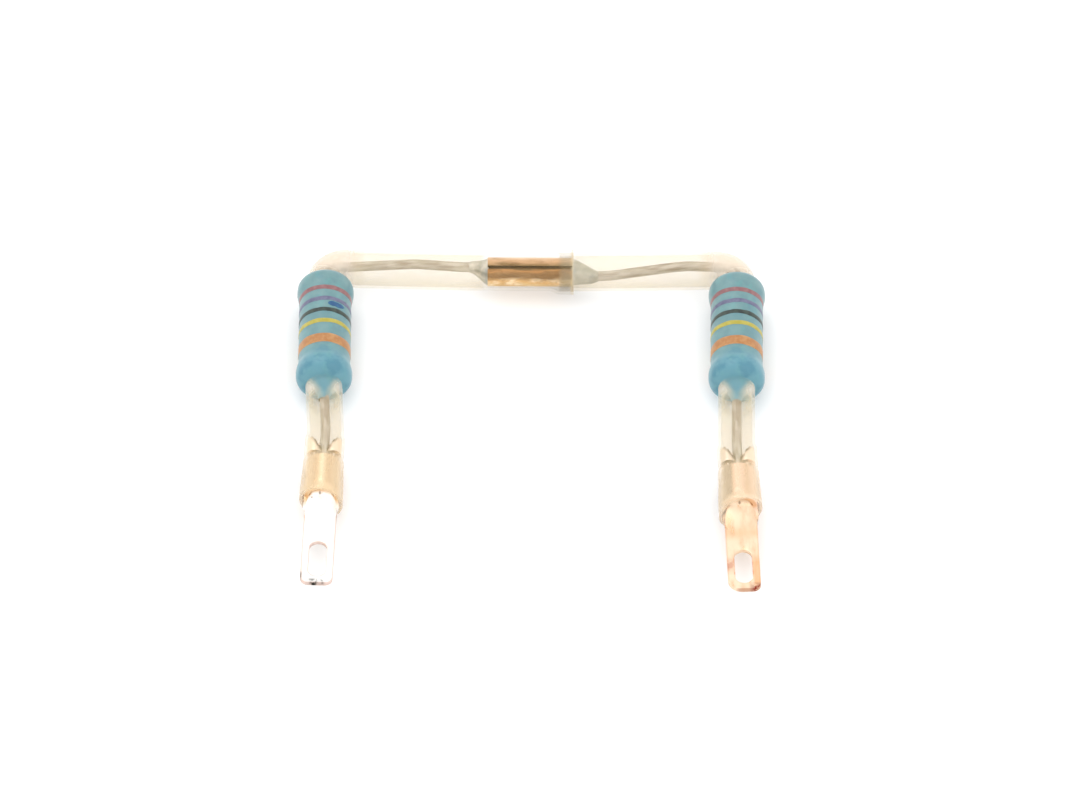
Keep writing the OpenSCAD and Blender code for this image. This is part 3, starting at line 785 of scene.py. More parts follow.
def copper_material():
    """Aged copper: painted reflection bands, stains, painted glare on its lower edge, a greyer right end."""
    paint = Paint("copper", srgb(134, 92, 50), 0.42, 1.0)
    stained, lower_glare, greyed = srgb(92, 66, 40), srgb(248, 224, 188), srgb(140, 132, 116)
    view_up = (0.743, 0.669)
    reach, wander_by, glare_edge = 1.05, 0.7, -0.42
    wander = paint.group("relief", Vector=paint.scaled(0.45, 1.6, 1.6), Scale=1.4)["Height"]
    # height across the view, which the painted reflection and shade bands follow
    height = paint.plus(*(paint.times(paint.axis(name), up) for name, up in zip("YZ", view_up)))
    height = paint.plus(height, paint.times(paint.minus(wander, 0.5), wander_by))
    # painted reflection and shade bands across the view
    color = paint.ramp(paint.math("DIVIDE", paint.plus(height, reach), 2 * reach), COPPER_GLARE_BANDS)
    stain = paint.blotch(1.3, 0.48, 0.66, paint.scaled(0.6, 1, 1))
    color = paint.mix(paint.times(stain, 0.35), color, stained)
    patches = paint.blotch(1.5, 0.4, 0.62, paint.scaled(0.55, 1, 1))
    # painted pale reflection in patches along the lower edge in the view
    color = paint.mix(paint.times(paint.below(height, glare_edge, 0.3), patches), color, lower_glare)
    color = paint.mix(paint.times(paint.zone(paint.axis("X"), 1.9, 3.2, 0.4), 0.5), color, greyed)
    relief = paint.relief(2.0, 0.35, 0.02, paint.scaled(0.4, 3, 3))
    return paint.finish(color, relief, stain, 0.36, 0.52)


def solder_material(splice):
    """Dull solder with a darker right cone, and brown inside the copper."""
    paint = Paint("solder", srgb(186, 196, 192), 0.4, 1.0)
    tone, uneven = paint.mottle(1.8, 0.35, 0.7, srgb(162, 162, 154), srgb(208, 202, 190))
    along, rim = paint.axis("X"), 0.05
    right = paint.above(along, splice.end / MM, 0.3)
    inside = paint.zone(along, splice.start / MM + rim, splice.end / MM - rim, rim)
    color = paint.mix(paint.times(right, 0.4), tone, srgb(122, 130, 126))
    color = paint.mix(inside, color, srgb(92, 68, 44))
    return paint.finish(color, paint.relief(3.0, 0.35, 0.03), uneven, 0.32, 0.5)


# Dark and light tin of each tab
TIN = {
    LEFT: (srgb(240, 230, 218), srgb(255, 252, 248)),
    RIGHT: (srgb(224, 188, 152), srgb(240, 216, 188)),
}
# Worn rim of each blade: its colour, and its strength round the blade and round the slot
WORN_RIM = {LEFT: (srgb(190, 136, 112), 0.55, 0.5), RIGHT: (srgb(206, 116, 80), 0.25, 0.75)}
# Stains of each blade: span and softness along it, span and softness across it or None for its rim,
# strength where clean and where scuffed, and colour
STAINS = {
    LEFT: (
        ((12.5, FAR, 0.3), (-0.85, 0.7, 0.4), (0.25, 1.0), srgb(40, 40, 34)),
        ((11.9, 12.8, 0.3), (-FAR, -0.98, 0.12), (0.8, 0.8), srgb(84, 64, 50)),
    ),
    RIGHT: (
        ((9.6, 13.2, 0.8), (0.6, FAR, 0.15), (0.55, 0.55), srgb(222, 158, 100)),
        ((9.8, 11.6, 0.6), (-FAR, -0.62, 0.15), (0.25, 0.6), srgb(190, 118, 96)),
        ((12.4, FAR, 0.5), None, (0.45, 0.45), srgb(146, 92, 68)),
        ((12.3, FAR, 0.5), (0.3, FAR, 0.4), (0.0, 1.0), srgb(132, 46, 34)),
    ),
}
# Colours of each barrel: its roll, its painted glint and the painted shade in the trough before it
BARREL = {
    LEFT: (srgb(212, 178, 132), srgb(255, 246, 210), srgb(236, 204, 164)),
    RIGHT: (srgb(232, 190, 168), srgb(246, 212, 190), srgb(240, 212, 182)),
}


def tin_tone(paint, side):
    """Uneven tin of a tab, which its solder shares."""
    color, uneven = paint.mottle(1.2, 0.3, 0.62, *TIN[side], paint.scaled(0.4, 1.2, 1.2))
    if side == RIGHT:
        bare = paint.zone(paint.axis("X"), 6.7, 8.3, 0.7)
        color = paint.mix(paint.times(bare, 0.4), color, srgb(228, 180, 132))
    return color, uneven


def worn_blade(paint, side, tin):
    """Bare rims round the blade and its slot, and the blade's stains."""
    tab = bpy.context.scene.rp_tab
    along, across = paint.axis("X"), paint.axis("Y")
    edge = paint.size(across)
    scuff = paint.blotch(1.8, 0.4, 0.56)
    rim_w, slot_rim_w, soft = 0.13, 0.12, 0.1

    def beyond(value, limit):
        return paint.most(paint.minus(value, limit / MM), 0.0)

    off_blade = paint.distance(
        beyond(edge, tab.blade_w / 2 - TIP_CORNER), beyond(along, tab.blade_end - TIP_CORNER)
    )
    rim = paint.above(off_blade, TIP_CORNER / MM - rim_w, soft)
    off_middle = paint.size(paint.minus(along, (tab.blade_end - tab.web - tab.slot_len / 2) / MM))
    off_slot = paint.distance(beyond(off_middle, (tab.slot_len - tab.slot_w) / 2), edge)
    slot = paint.below(off_slot, tab.slot_w / 2 / MM + slot_rim_w, soft)
    if side == RIGHT:
        slot = paint.times(slot, paint.below(off_middle, 1.3, 0.6), paint.span(scuff, 0.35, 1.0))
    rim_color, rim_share, slot_share = WORN_RIM[side]
    bare = paint.most(paint.times(rim, rim_share), paint.times(slot, slot_share))
    blade = paint.above(along, 6.0, 0.5)
    color = paint.mix(paint.times(blade, bare), tin, rim_color)
    for span_along, span_across, (clean, scuffed), tone in STAINS[side]:
        where = rim if span_across is None else paint.zone(across, *span_across)
        strength = paint.span(scuff, clean, scuffed)
        color = paint.mix(paint.times(paint.zone(along, *span_along), where, strength), color, tone)
    return color


def rolled_barrel(paint, side, blade):
    """Barrel with painted flank shade, glint and dark reflection, and painted shade in the trough before it.
    """
    along, across = paint.axis("X"), paint.axis("Y")
    edge = paint.size(across)
    roll, glint, mouth_shade = BARREL[side]
    flank_shade, dark_reflection = srgb(190, 146, 98), srgb(62, 62, 56)
    # painted shade bands down the barrel's flanks
    roll = paint.mix(paint.times(paint.zone(edge, 0.28, 0.8, 0.2), 0.55), roll, flank_shade)
    # painted glint down the barrel's middle
    roll = paint.mix(paint.below(edge, 0.3, 0.32), roll, glint)
    if side == RIGHT:
        # painted dark reflection down one side of the right barrel
        roll = paint.mix(paint.times(paint.below(across, -0.4, 0.25), 0.95), roll, dark_reflection)
    color = paint.mix(paint.below(along, 5.9, 0.5), blade, roll)
    # painted shade in the trough at the barrel's mouth
    return paint.mix(paint.times(paint.zone(along, 4.75, 5.6, 0.3), 0.75), color, mouth_shade)


def shaded_grip(paint, rest):
    """Pale scrolls with painted patchy shade between them and painted dark shade along their flared mouth."""
    tab = bpy.context.scene.rp_tab
    along, edge = paint.axis("X"), paint.size(paint.axis("Y"))
    # the second and third colours are painted shade: between the scrolls, and along the edges of their mouth
    pale, hollow_shade, dark = srgb(244, 226, 208), srgb(150, 120, 96), srgb(78, 70, 64)
    grip = paint.below(along, 1.7, 0.3)
    patchy_shade = paint.blotch(2.2, 0.38, 0.6)
    taper = paint.times(along, GRIP_TAPER / tab.scroll)
    off_mouth = paint.size(paint.minus(paint.plus(edge, taper), GRIP_MOUTH / MM))
    color = paint.mix(paint.times(grip, 0.8), rest, pale)
    # painted patchy shade in the hollow between the scrolls
    color = paint.mix(paint.times(grip, paint.below(edge, 0.62, 0.3), patchy_shade, 0.7), color, hollow_shade)
    # painted dark shade along the edges of the flared mouth
    mouth_edge_shade = paint.times(grip, paint.below(off_mouth, 0.26, 0.24), paint.span(patchy_shade, 0.45, 0.95))
    return paint.mix(mouth_edge_shade, color, dark)


def tab_material(side):
    """Stamped and tinned sheet of a tab terminal."""
    base = {LEFT: srgb(250, 244, 236), RIGHT: srgb(232, 204, 172)}[side]
    paint = Paint(SIDE_NAMES[side] + "_tab_metal", base, 0.3, 1.0)
    tin, uneven = tin_tone(paint, side)
    color = shaded_grip(paint, rolled_barrel(paint, side, worn_blade(paint, side, tin)))
    return paint.finish(color, paint.relief(1.6, 0.1, 0.02, paint.scaled(0.5, 1, 1)), uneven, 0.24, 0.38)


# Flux dots on each tab's solder: place along it, place across it and radius
FLUX_DOTS = {LEFT: ((5.12, -0.1, 0.1), (5.35, -0.66, 0.09)), RIGHT: ((5.12, -0.05, 0.1),)}


def fill_material(side):
    """Solder of a tab's barrel, tan at its rear edge: painted shade in the mouth, with patchy flux stain."""
    # own tin colour, and the tan of the painted shade and flux stain at the rear edge
    base, shade_and_flux_color = {
        LEFT: (srgb(255, 252, 246), srgb(216, 176, 132)),
        RIGHT: (srgb(238, 212, 182), srgb(206, 172, 138)),
    }[side]
    paint = Paint(SIDE_NAMES[side] + "_tab_solder", base, 0.34, 1.0)
    along, across = paint.axis("X"), paint.axis("Y")
    flux = paint.times(paint.blotch(2.6, 0.5, 0.6), 0.6)
    sides = paint.above(paint.size(across), 0.5, 0.3)
    # tan at the rear edge and its sides: painted shade inside the barrel's mouth, with patchy flux stain
    stained = paint.times(paint.below(along, 5.22, 0.14), paint.most(flux, sides))
    stained = paint.most(stained, paint.below(along, 5.14, 0.12))
    tin, uneven = tin_tone(paint, side)
    color = paint.mix(stained, tin, shade_and_flux_color)
    for x, y, radius in FLUX_DOTS[side]:
        off_dot = paint.distance(paint.minus(along, x), paint.minus(across, y))
        color = paint.mix(paint.times(paint.below(off_dot, radius, 0.06), 0.65), color, srgb(94, 66, 44))
    return paint.finish(color, paint.relief(1.6, 0.1, 0.02, paint.scaled(0.5, 1, 1)), uneven, 0.24, 0.38)


def core_material(name, tones, metallic, scale, smoothest, roughest):
    """Plain uneven finish of a rod or a cap, on Object coordinates."""
    base, dark, light = tones
    paint = Paint(name, base, smoothest, metallic)
    coordinates = paint.nodes.new("ShaderNodeTexCoord").outputs["Object"]
    tone, uneven = paint.mottle(scale, 0.35, 0.7, dark, light, coordinates)
    paint.set(Base_Color=tone, Roughness=paint.span(uneven, smoothest, roughest))
    return paint.material


# Pieces


def coat_radius(body, along):
    """Radius of the lacquer between the two bulges."""
    climb = (abs(along) - (body.bulge_at - body.shoulder)) / body.shoulder
    return body.waist_r + (body.bulge_r - body.waist_r) * rise(climb)


# Paint rings: place from the body's middle, width and slot
RINGS = {
    "red": (-2.9 * MM, 0.38 * MM, "red_paint"),
    "violet": (-1.85 * MM, 0.38 * MM, "violet_paint"),
    "black": (-0.8 * MM, 0.38 * MM, "black_paint"),
    "yellow": (0.25 * MM, 0.38 * MM, "yellow_paint"),
    "tolerance": (1.9 * MM, 0.85 * MM, "brown_paint"),
}


class RP_OT_bodies(Operator):
    """Lacquered bodies with their paint rings and the ink dab"""

    bl_idname = "resistor_pair.bodies"
    bl_label = "Bodies and paint rings"

    def half_body(self, settings, wire, creep):
        """Stations from the waist to the end of the lacquer's creep along a lead."""
        shoulder_steps, dome_steps, creep_steps = 12, 16, 8
        film = wire.radius + 0.006 * MM
        half = []
        for k in range(shoulder_steps + 1):
            along = settings.bulge_at - settings.shoulder + settings.shoulder * k / shoulder_steps
            half.append((along, coat_radius(settings, along)))
        leave_at = math.acos((settings.creep_r / settings.bulge_r) ** (settings.dome_power / 2))
        power = 2 / settings.dome_power
        for k in range(1, dome_steps + 1):
            angle = leave_at * k / dome_steps
            place = settings.bulge_at + settings.dome * math.sin(angle) ** power
            half.append((place, settings.bulge_r * math.cos(angle) ** power))
        for k in range(1, creep_steps + 1):
            share = k / creep_steps
            half.append((place + creep * share, film + (settings.creep_r - film) * (1 - share) ** 2))
        return half

    def body(self, name, settings, wire):
        upper = self.half_body(settings, wire, settings.upper_creep)
        lower = self.half_body(settings, wire, settings.lower_creep)
        return ring_stack(name, [(-x, r) for x, r in reversed(upper)] + lower, sides=96)

    def ring(self, name, settings, at, width):
        """Ring of paint with brushed edges, sunk a little into the lacquer."""
        edge, bead = 0.05 * MM, 0.005 * MM
        start, end = at - width / 2, at + width / 2
        low, high = -0.03 * MM, settings.proud
        profile = [(start, low), (start + bead, high / 2), (start + edge, high), (at, high)]
        profile += [(end - edge, high), (end - bead, high / 2), (end, low)]
        obj = ring_stack(name, [(x, coat_radius(settings, x) + h) for x, h in profile], sides=96)
        close_ring(obj)
        ruffle(obj, grain=0.9 * MM, strength=0.11 * MM, directions=("X",))
        return obj

    def dab(self, settings, target):
        """Irregular blot, laid on the left body from above."""
        radius, flatten = 0.5 * MM, (0.44, 1.15, 1)
        along, clear_of_body = -1.38 * MM, 3 * MM
        across = settings.waist_r * math.sin(math.radians(25.5))
        bpy.ops.object.select_all(action="DESELECT")
        bpy.ops.mesh.primitive_circle_add(vertices=40, radius=radius, fill_type="TRIFAN", location=(0, 0, 0))
        obj = bpy.context.object
        obj.name = obj.data.name = "left_ink_blot"
        edit_all(obj)
        bpy.ops.mesh.subdivide(number_cuts=3)
        bpy.ops.transform.resize(value=flatten)
        leave()
        ruffle(obj, grain=0.35 * MM, strength=0.14 * MM, directions=("X", "Y"))
        put(obj, Matrix.Translation((along, across, clear_of_body)))
        apply_modifier(
            obj, "Wrap", "SHRINKWRAP", target=target, wrap_method="PROJECT", use_project_z=True,
            use_negative_direction=True, use_positive_direction=False, wrap_mode="ABOVE_SURFACE",
            offset=settings.proud,
        )
        apply_modifier(obj, "Film", "SOLIDIFY", thickness=0.04 * MM, offset=-1)
        tidy_mesh(obj)
        return obj

    def execute(self, context):
        scene = context.scene
        settings, colours = scene.rp_body, scene.rp_colour

        def paint(slot, key):
            return ring_material(slot, getattr(colours, key + "_dark"), getattr(colours, key + "_light"))

        lacquer = lacquer_material(colours)
        paints = {key: paint(slot, key) for key, (_, _, slot) in RINGS.items()}
        for side, name in SIDE_NAMES.items():
            body = self.body(name + "_body", settings, scene.rp_wire)
            pieces = []
            for key, (at, width, slot) in RINGS.items():
                ring = self.ring(f"{name}_{key}_ring", settings, at, width)
                pieces.append((ring, paints[key], slot, f"{name}_{key}_band"))
            if side == LEFT:
                blot = self.dab(settings, body)
                pieces.append((blot, paint("blue_ink", "ink"), "blue_ink", "left_ink_dab"))
            pieces.append((body, lacquer, "lacquer", name + "_lacquer_coat"))
            for obj, material, slot, node in pieces:
                keep_place(obj)
                put(obj, leg_matrix(side))
                smooth(obj)
                finish_piece(obj, material, slot, node)
        return {"FINISHED"}


class RP_OT_core(Operator):
    """Ceramic rods and end caps inside the lacquer"""

    bl_idname = "resistor_pair.core"
    bl_label = "Rods and caps"

    def execute(self, context):
        rod_tones = (srgb(232, 226, 212), srgb(214, 206, 190), srgb(240, 236, 226))
        cap_tones = (srgb(190, 190, 188), srgb(160, 160, 158), srgb(206, 206, 204))
        ceramic = core_material("ceramic", rod_tones, 0.0, 900.0, 0.6, 0.8)
        cap = core_material("cap_metal", cap_tones, 1.0, 1200.0, 0.28, 0.46)
        for name in SIDE_NAMES.values():
            for node, material in (("ceramic_rod", ceramic), ("upper_cap", cap), ("lower_cap", cap)):
                coat(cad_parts[f"{name}_{node}"], material)
        return {"FINISHED"}


# Crest of each bridge lead: its place along X, its height past the axis and the corner's height past it
BRIDGE_CREST = {LEFT: (8.2 * MM, 0.62 * MM, 0.0), RIGHT: (10.8 * MM, 0.52 * MM, 0.2 * MM)}


class RP_OT_leads(Operator):
    """Bent lead wires"""

    bl_idname = "resistor_pair.leads"
    bl_label = "Lead wires"

    def wire(self, name, points, settings, height):
        """Round wire with bevelled ends along a path."""
        whole = path_length(points)
        count = math.ceil(whole / STATION)
        bevel = 0.06 * MM
        stations = [(0, settings.radius - bevel), (bevel, settings.radius)]
        stations += [(bevel + (whole - 2 * bevel) * k / count, settings.radius) for k in range(1, count + 1)]
        stations += [(whole, settings.radius - bevel)]
        obj = ring_stack(name, stations, sides=20, closed=True)
        keep_place(obj)
        follow(obj, points, height)
        smooth(obj)
        return obj

    def execute(self, context):
        scene = context.scene
        body, settings, splice, tab = scene.rp_body, scene.rp_wire, scene.rp_splice, scene.rp_tab
        material = wire_material()
        axis_y = body.middle_y + settings.bridge_at
        short_of_end, before_cone, short_of_mouth = 0.4 * MM, 0.7 * MM, 1.1 * MM
        for side, name in SIDE_NAMES.items():
            leg_x = side * body.leg_x
            crest_at, crest, corner_up = BRIDGE_CREST[side]
            tip = splice.start - splice.left_cone if side == LEFT else splice.end + splice.right_cone
            end = splice.end - short_of_end if side == LEFT else splice.start + short_of_end
            lane_y = axis_y - side * settings.lane
            bridge = rounded(
                [
                    (leg_x, body.middle_y + settings.cap_end), (leg_x, axis_y + corner_up),
                    (side * crest_at, axis_y + crest), (tip + side * before_cone, lane_y), (end, lane_y),
                ],
                [settings.corner_r, settings.curve_r, settings.curve_r],
            )
            reach = tab.bend + tab.barrel_end - short_of_mouth
            terminal = terminal_path(side, body.middle_y - settings.cap_end, reach)
            for key, points in (("bridge", bowed(bridge)), ("terminal", terminal)):
                obj = self.wire(f"{name}_{key}_wire", points, settings, body.axis_z)
                finish_piece(obj, material, "tinned_wire", f"{name}_{key}_lead")
        return {"FINISHED"}


# How white the sleeves are at their cut mouths
MOUTH_WHITE = {LEFT: 0.0, RIGHT: 0.2}


class RP_OT_sleeves(Operator):
    """Milky insulating sleeves over the leads"""

    bl_idname = "resistor_pair.sleeves"
    bl_label = "Sleeves"

    def mark(self, obj, name, value):
        """Stores a value from 0 to 1 for each point, worked out from the place that it has now."""
        store = obj.data.attributes.new(name, "FLOAT", "POINT")
        store.data.foreach_set("value", [value(v.co) for v in obj.data.vertices])

    def shell(self, obj, wall):
        """Gives a tube its wall, inwards."""
        apply_modifier(obj, "Wall", "SOLIDIFY", thickness=wall, offset=-1, use_even_offset=True)
        tidy_mesh(obj)

    def dome_reach(self, body, radius):
        """Distance past a bulge at which the dome has a radius."""
        share = 1 - (radius / body.bulge_r) ** body.dome_power
        return body.dome * share ** (1 / body.dome_power)

    def bridge(self, side, scene):
        """Sleeve from a body's dome round the corner to the lap beside the splice."""
        body, wire, sleeve = scene.rp_body, scene.rp_wire, scene.rp_sleeve
        axis_y = body.middle_y + wire.bridge_at
        leg_x = side * body.leg_x
        start_y = body.middle_y + body.bulge_at + self.dome_reach(body, sleeve.bridge_r - sleeve.wall)
        end_x = sleeve.lap_end if side == LEFT else sleeve.lap_start
        elbow_r, parts = 1.4 * MM, 12
        corners = [(leg_x, start_y), (leg_x, axis_y)]
        corners += [(leg_x + (end_x - leg_x) * k / parts, axis_y) for k in range(2, parts + 1)]
        points = bowed(rounded(corners, [elbow_r] * (parts - 1)))
        whole = path_length(points)
        count = math.ceil(whole / STATION)
        stations = []
        flare_at = whole - (sleeve.lap_end - sleeve.lap_start) - sleeve.lap_flare
        pinch_at, pinch_len, narrower, taller = 1.3 * MM, 1.5 * MM, 0.06, 0.02
        for k in range(count + 1):
            along = whole * k / count
            radius = sleeve.bridge_r
            if side == LEFT:
                radius += (sleeve.lap_r - sleeve.bridge_r) * rise((along - flare_at) / sleeve.lap_flare)
            pinch = fade(abs(along - pinch_at), 0, pinch_len)
            stations.append((along, radius * (1 - narrower * pinch), 0, radius * (1 + taller * pinch)))
        obj = ring_stack(f"{SIDE_NAMES[side]}_bridge_tube", stations, sides=72)
        keep_place(obj)
        follow(obj, points, body.axis_z)
        kink_in, kink_back = 0.5 * MM, 0.1 * MM
        corner = Vector((leg_x - side * kink_in, axis_y - kink_back, body.axis_z))
        splice = scene.rp_splice

        def over_splice(co):
            past_end = fade(co.x - splice.end, -0.24 * MM, 0.36 * MM)
            return 0.7 * fade(splice.start - co.x, 0, 0.6 * MM) * past_end

        def over_dome(co):
            return fade(co.y - start_y, 0, 0.9 * MM) * fade(abs(co.x - leg_x), 1.32 * MM, 2.42 * MM)

        def whitened(co):
            off_dome = fade(co.y - start_y, 0.36 * MM, -0.04 * MM)
            return fade((co - corner).length, 0.575 * MM, 2.875 * MM) * off_dome

        def at_lap(co):
            return 0.6 * fade(abs(end_x - co.x), 0, 0.3 * MM) if side == LEFT else 0.0

        self.mark(obj, "kink", whitened)
        self.mark(obj, "clear", lambda co: max(over_splice(co), over_dome(co)))
        self.mark(obj, "cling", at_lap)
        self.shell(obj, sleeve.wall)
        return obj

    def terminal(self, side, scene):
        """Sleeve from a body's dome over the grip and the barrel, with a slanted cut."""
        body, sleeve, tab = scene.rp_body, scene.rp_sleeve, scene.rp_tab
        start = body.bulge_at + self.dome_reach(body, sleeve.terminal_r - sleeve.wall)
        knee = knee_at(side) - start
        rear = knee + tab.bend
        grip_r, neck_r, barrel_r, mouth_r = 1.42 * MM, 1.34 * MM, 1.44 * MM, 1.54 * MM
        before_grip, neck_at, past_barrel, spare = 0.5 * MM, 1.75 * MM, 0.6 * MM, 1.0 * MM
        mouth = rear + tab.barrel_end + past_barrel
        knots = [
            (0, sleeve.terminal_r), (rear - before_grip, sleeve.terminal_r), (rear, grip_r),
            (rear + tab.scroll, grip_r), (rear + neck_at, neck_r), (rear + tab.barrel_start, barrel_r),
            (rear + tab.barrel_end, mouth_r), (mouth + spare, mouth_r),
        ]
        stations = []
        for (a, ra), (b, rb) in zip(knots, knots[1:]):
            count = max(2, math.ceil((b - a) / STATION))
            stations += [(a + (b - a) * k / count, ra + (rb - ra) * rise(k / count)) for k in range(count)]
        stations.append(knots[-1])
        obj = ring_stack(f"{SIDE_NAMES[side]}_terminal_tube", stations, sides=72)
        cut = SLEEVE_CUT[side]
        outward = Vector((math.cos(cut), math.sin(cut), 0))
        edge = Vector((mouth, 0, 0))
        sliver = 0.04 * MM
        creep_half, creep_len = 1.1 * MM, 2.0 * MM
        edit_all(obj)
        bpy.ops.mesh.bisect(plane_co=edge, plane_no=outward, clear_outer=True, threshold=TOUCH)
        bpy.ops.mesh.select_all(action="SELECT")
        bpy.ops.mesh.remove_doubles(threshold=sliver)
        leave()
        keep_place(obj)

        def on_barrel(co):
            return fade(co.x - rear - tab.barrel_start, 0.15 * MM, -0.35 * MM)

        def at_mouth(co):
            return MOUTH_WHITE[side] * fade((co - edge).dot(outward), 0, -0.4 * MM)

        def over_creep(co):
            half = creep_half * (1 - co.x / creep_len)
            return fade(abs(co.y) - half, -0.4 * MM, 0.4 * MM)

        def at_start(co):
            return 0.5 * (1 - over_creep(co)) * fade(co.x, 0.65 * MM, 1.95 * MM)

        self.mark(obj, "cling", on_barrel)
        self.mark(obj, "kink", lambda co: max(at_mouth(co), at_start(co)))
        self.mark(obj, "clear", over_creep)
        follow(obj, terminal_path(side, body.middle_y - start, mouth + 2 * spare - knee), body.axis_z)
        self.shell(obj, sleeve.wall)
        return obj

    def execute(self, context):
        scene = context.scene
        material = sleeve_material()
        for side, name in SIDE_NAMES.items():
            for key, maker in (("bridge", self.bridge), ("terminal", self.terminal)):
                obj = maker(side, scene)
                smooth(obj, 50)
                finish_piece(obj, material, "clear_sleeve", f"{name}_{key}_sleeve")
        return {"FINISHED"}


# Power of the solder cones' profiles: 1 is straight, more is hollow, less is bulged
CONE_HOLLOW = {LEFT: 1.25, RIGHT: 0.85}


class RP_OT_splice(Operator):
    """Copper sleeve and solder of the splice"""

    bl_idname = "resistor_pair.splice"
    bl_label = "Splice"

    def copper(self, settings):
        """Rolled sheet with an open seam."""
        middle = settings.radius - settings.wall / 2
        count = 12
        span = settings.end - settings.start
        stations = [(settings.start + span * k / count, middle) for k in range(count + 1)]
        obj = ring_stack("splice_tube", stations, sides=90)
        seam, half_gap = math.radians(114), math.radians(3)
        toward = Vector((0, math.cos(seam), math.sin(seam)))
        select_by(obj, lambda co: Vector((0, co.y, co.z)).normalized().dot(toward) > math.cos(half_gap))
        bpy.ops.mesh.delete(type="VERT")
        leave()
        apply_modifier(obj, "Sheet", "SOLIDIFY", thickness=settings.wall, offset=0)
        apply_modifier(obj, "Edge", "BEVEL", width=0.03 * MM, segments=2, limit_method="ANGLE")
        tidy_mesh(obj)
        return obj

    def solder(self, settings, wire):
        """Filling of the copper with a cone at each end, which leads to that side's wire."""
        foot = settings.radius - 0.05 * MM
        tip = wire.radius + 0.06 * MM
        core = settings.radius - settings.wall
        step_in, feather, count = 0.02 * MM, 0.12 * MM, 12

        def cone(side, base, cone_len):
            out = []
            for k in range(count + 1):
                t = k / count
                radius = tip + (foot - tip) * (1 - t) ** CONE_HOLLOW[side]
                out.append((base + side * cone_len * t, radius, -side * wire.lane * rise(t)))
            out.append((base + side * (cone_len + feather), wire.radius, -side * wire.lane))
            return out

        left = cone(LEFT, settings.start, settings.left_cone)
        right = cone(RIGHT, settings.end, settings.right_cone)
        inner = [(settings.start + step_in, core), (settings.end - step_in, core)]
        obj = ring_stack("splice_fill", left[::-1] + inner + right, sides=48, closed=True)
        ruffle(obj, grain=0.7 * MM, strength=0.06 * MM, middle=0.6)
        return obj

    def execute(self, context):
        scene = context.scene
        splice = scene.rp_splice
        for obj, material, slot, node in (
            (self.copper(splice), copper_material(), "copper", "splice_sleeve"),
            (self.solder(splice, scene.rp_wire), solder_material(splice), "solder", "splice_solder"),
        ):
            keep_place(obj)
            put(obj, bridge_matrix())
            smooth(obj)
            finish_piece(obj, material, slot, node)
        return {"FINISHED"}


# Solder before a barrel: place past its front, share of the bore, height over the sheet and depth in it
SOLDER_RUN = (
    (-0.16, 0.99, 0.6, 0.1), (0.06, 1.08, 0.46, 0.12), (0.35, 1.17, 0.32, 0.13), (0.7, 1.24, 0.2, 0.13),
    (1.1, 1.25, 0.115, 0.12), (1.6, 1.25, 0.055, 0.12), (2.1, 1.25, 0.02, 0.12), (2.5, 1.24, 0.004, 0.12),
    (2.8, 1.22, -0.006, 0.11),
)


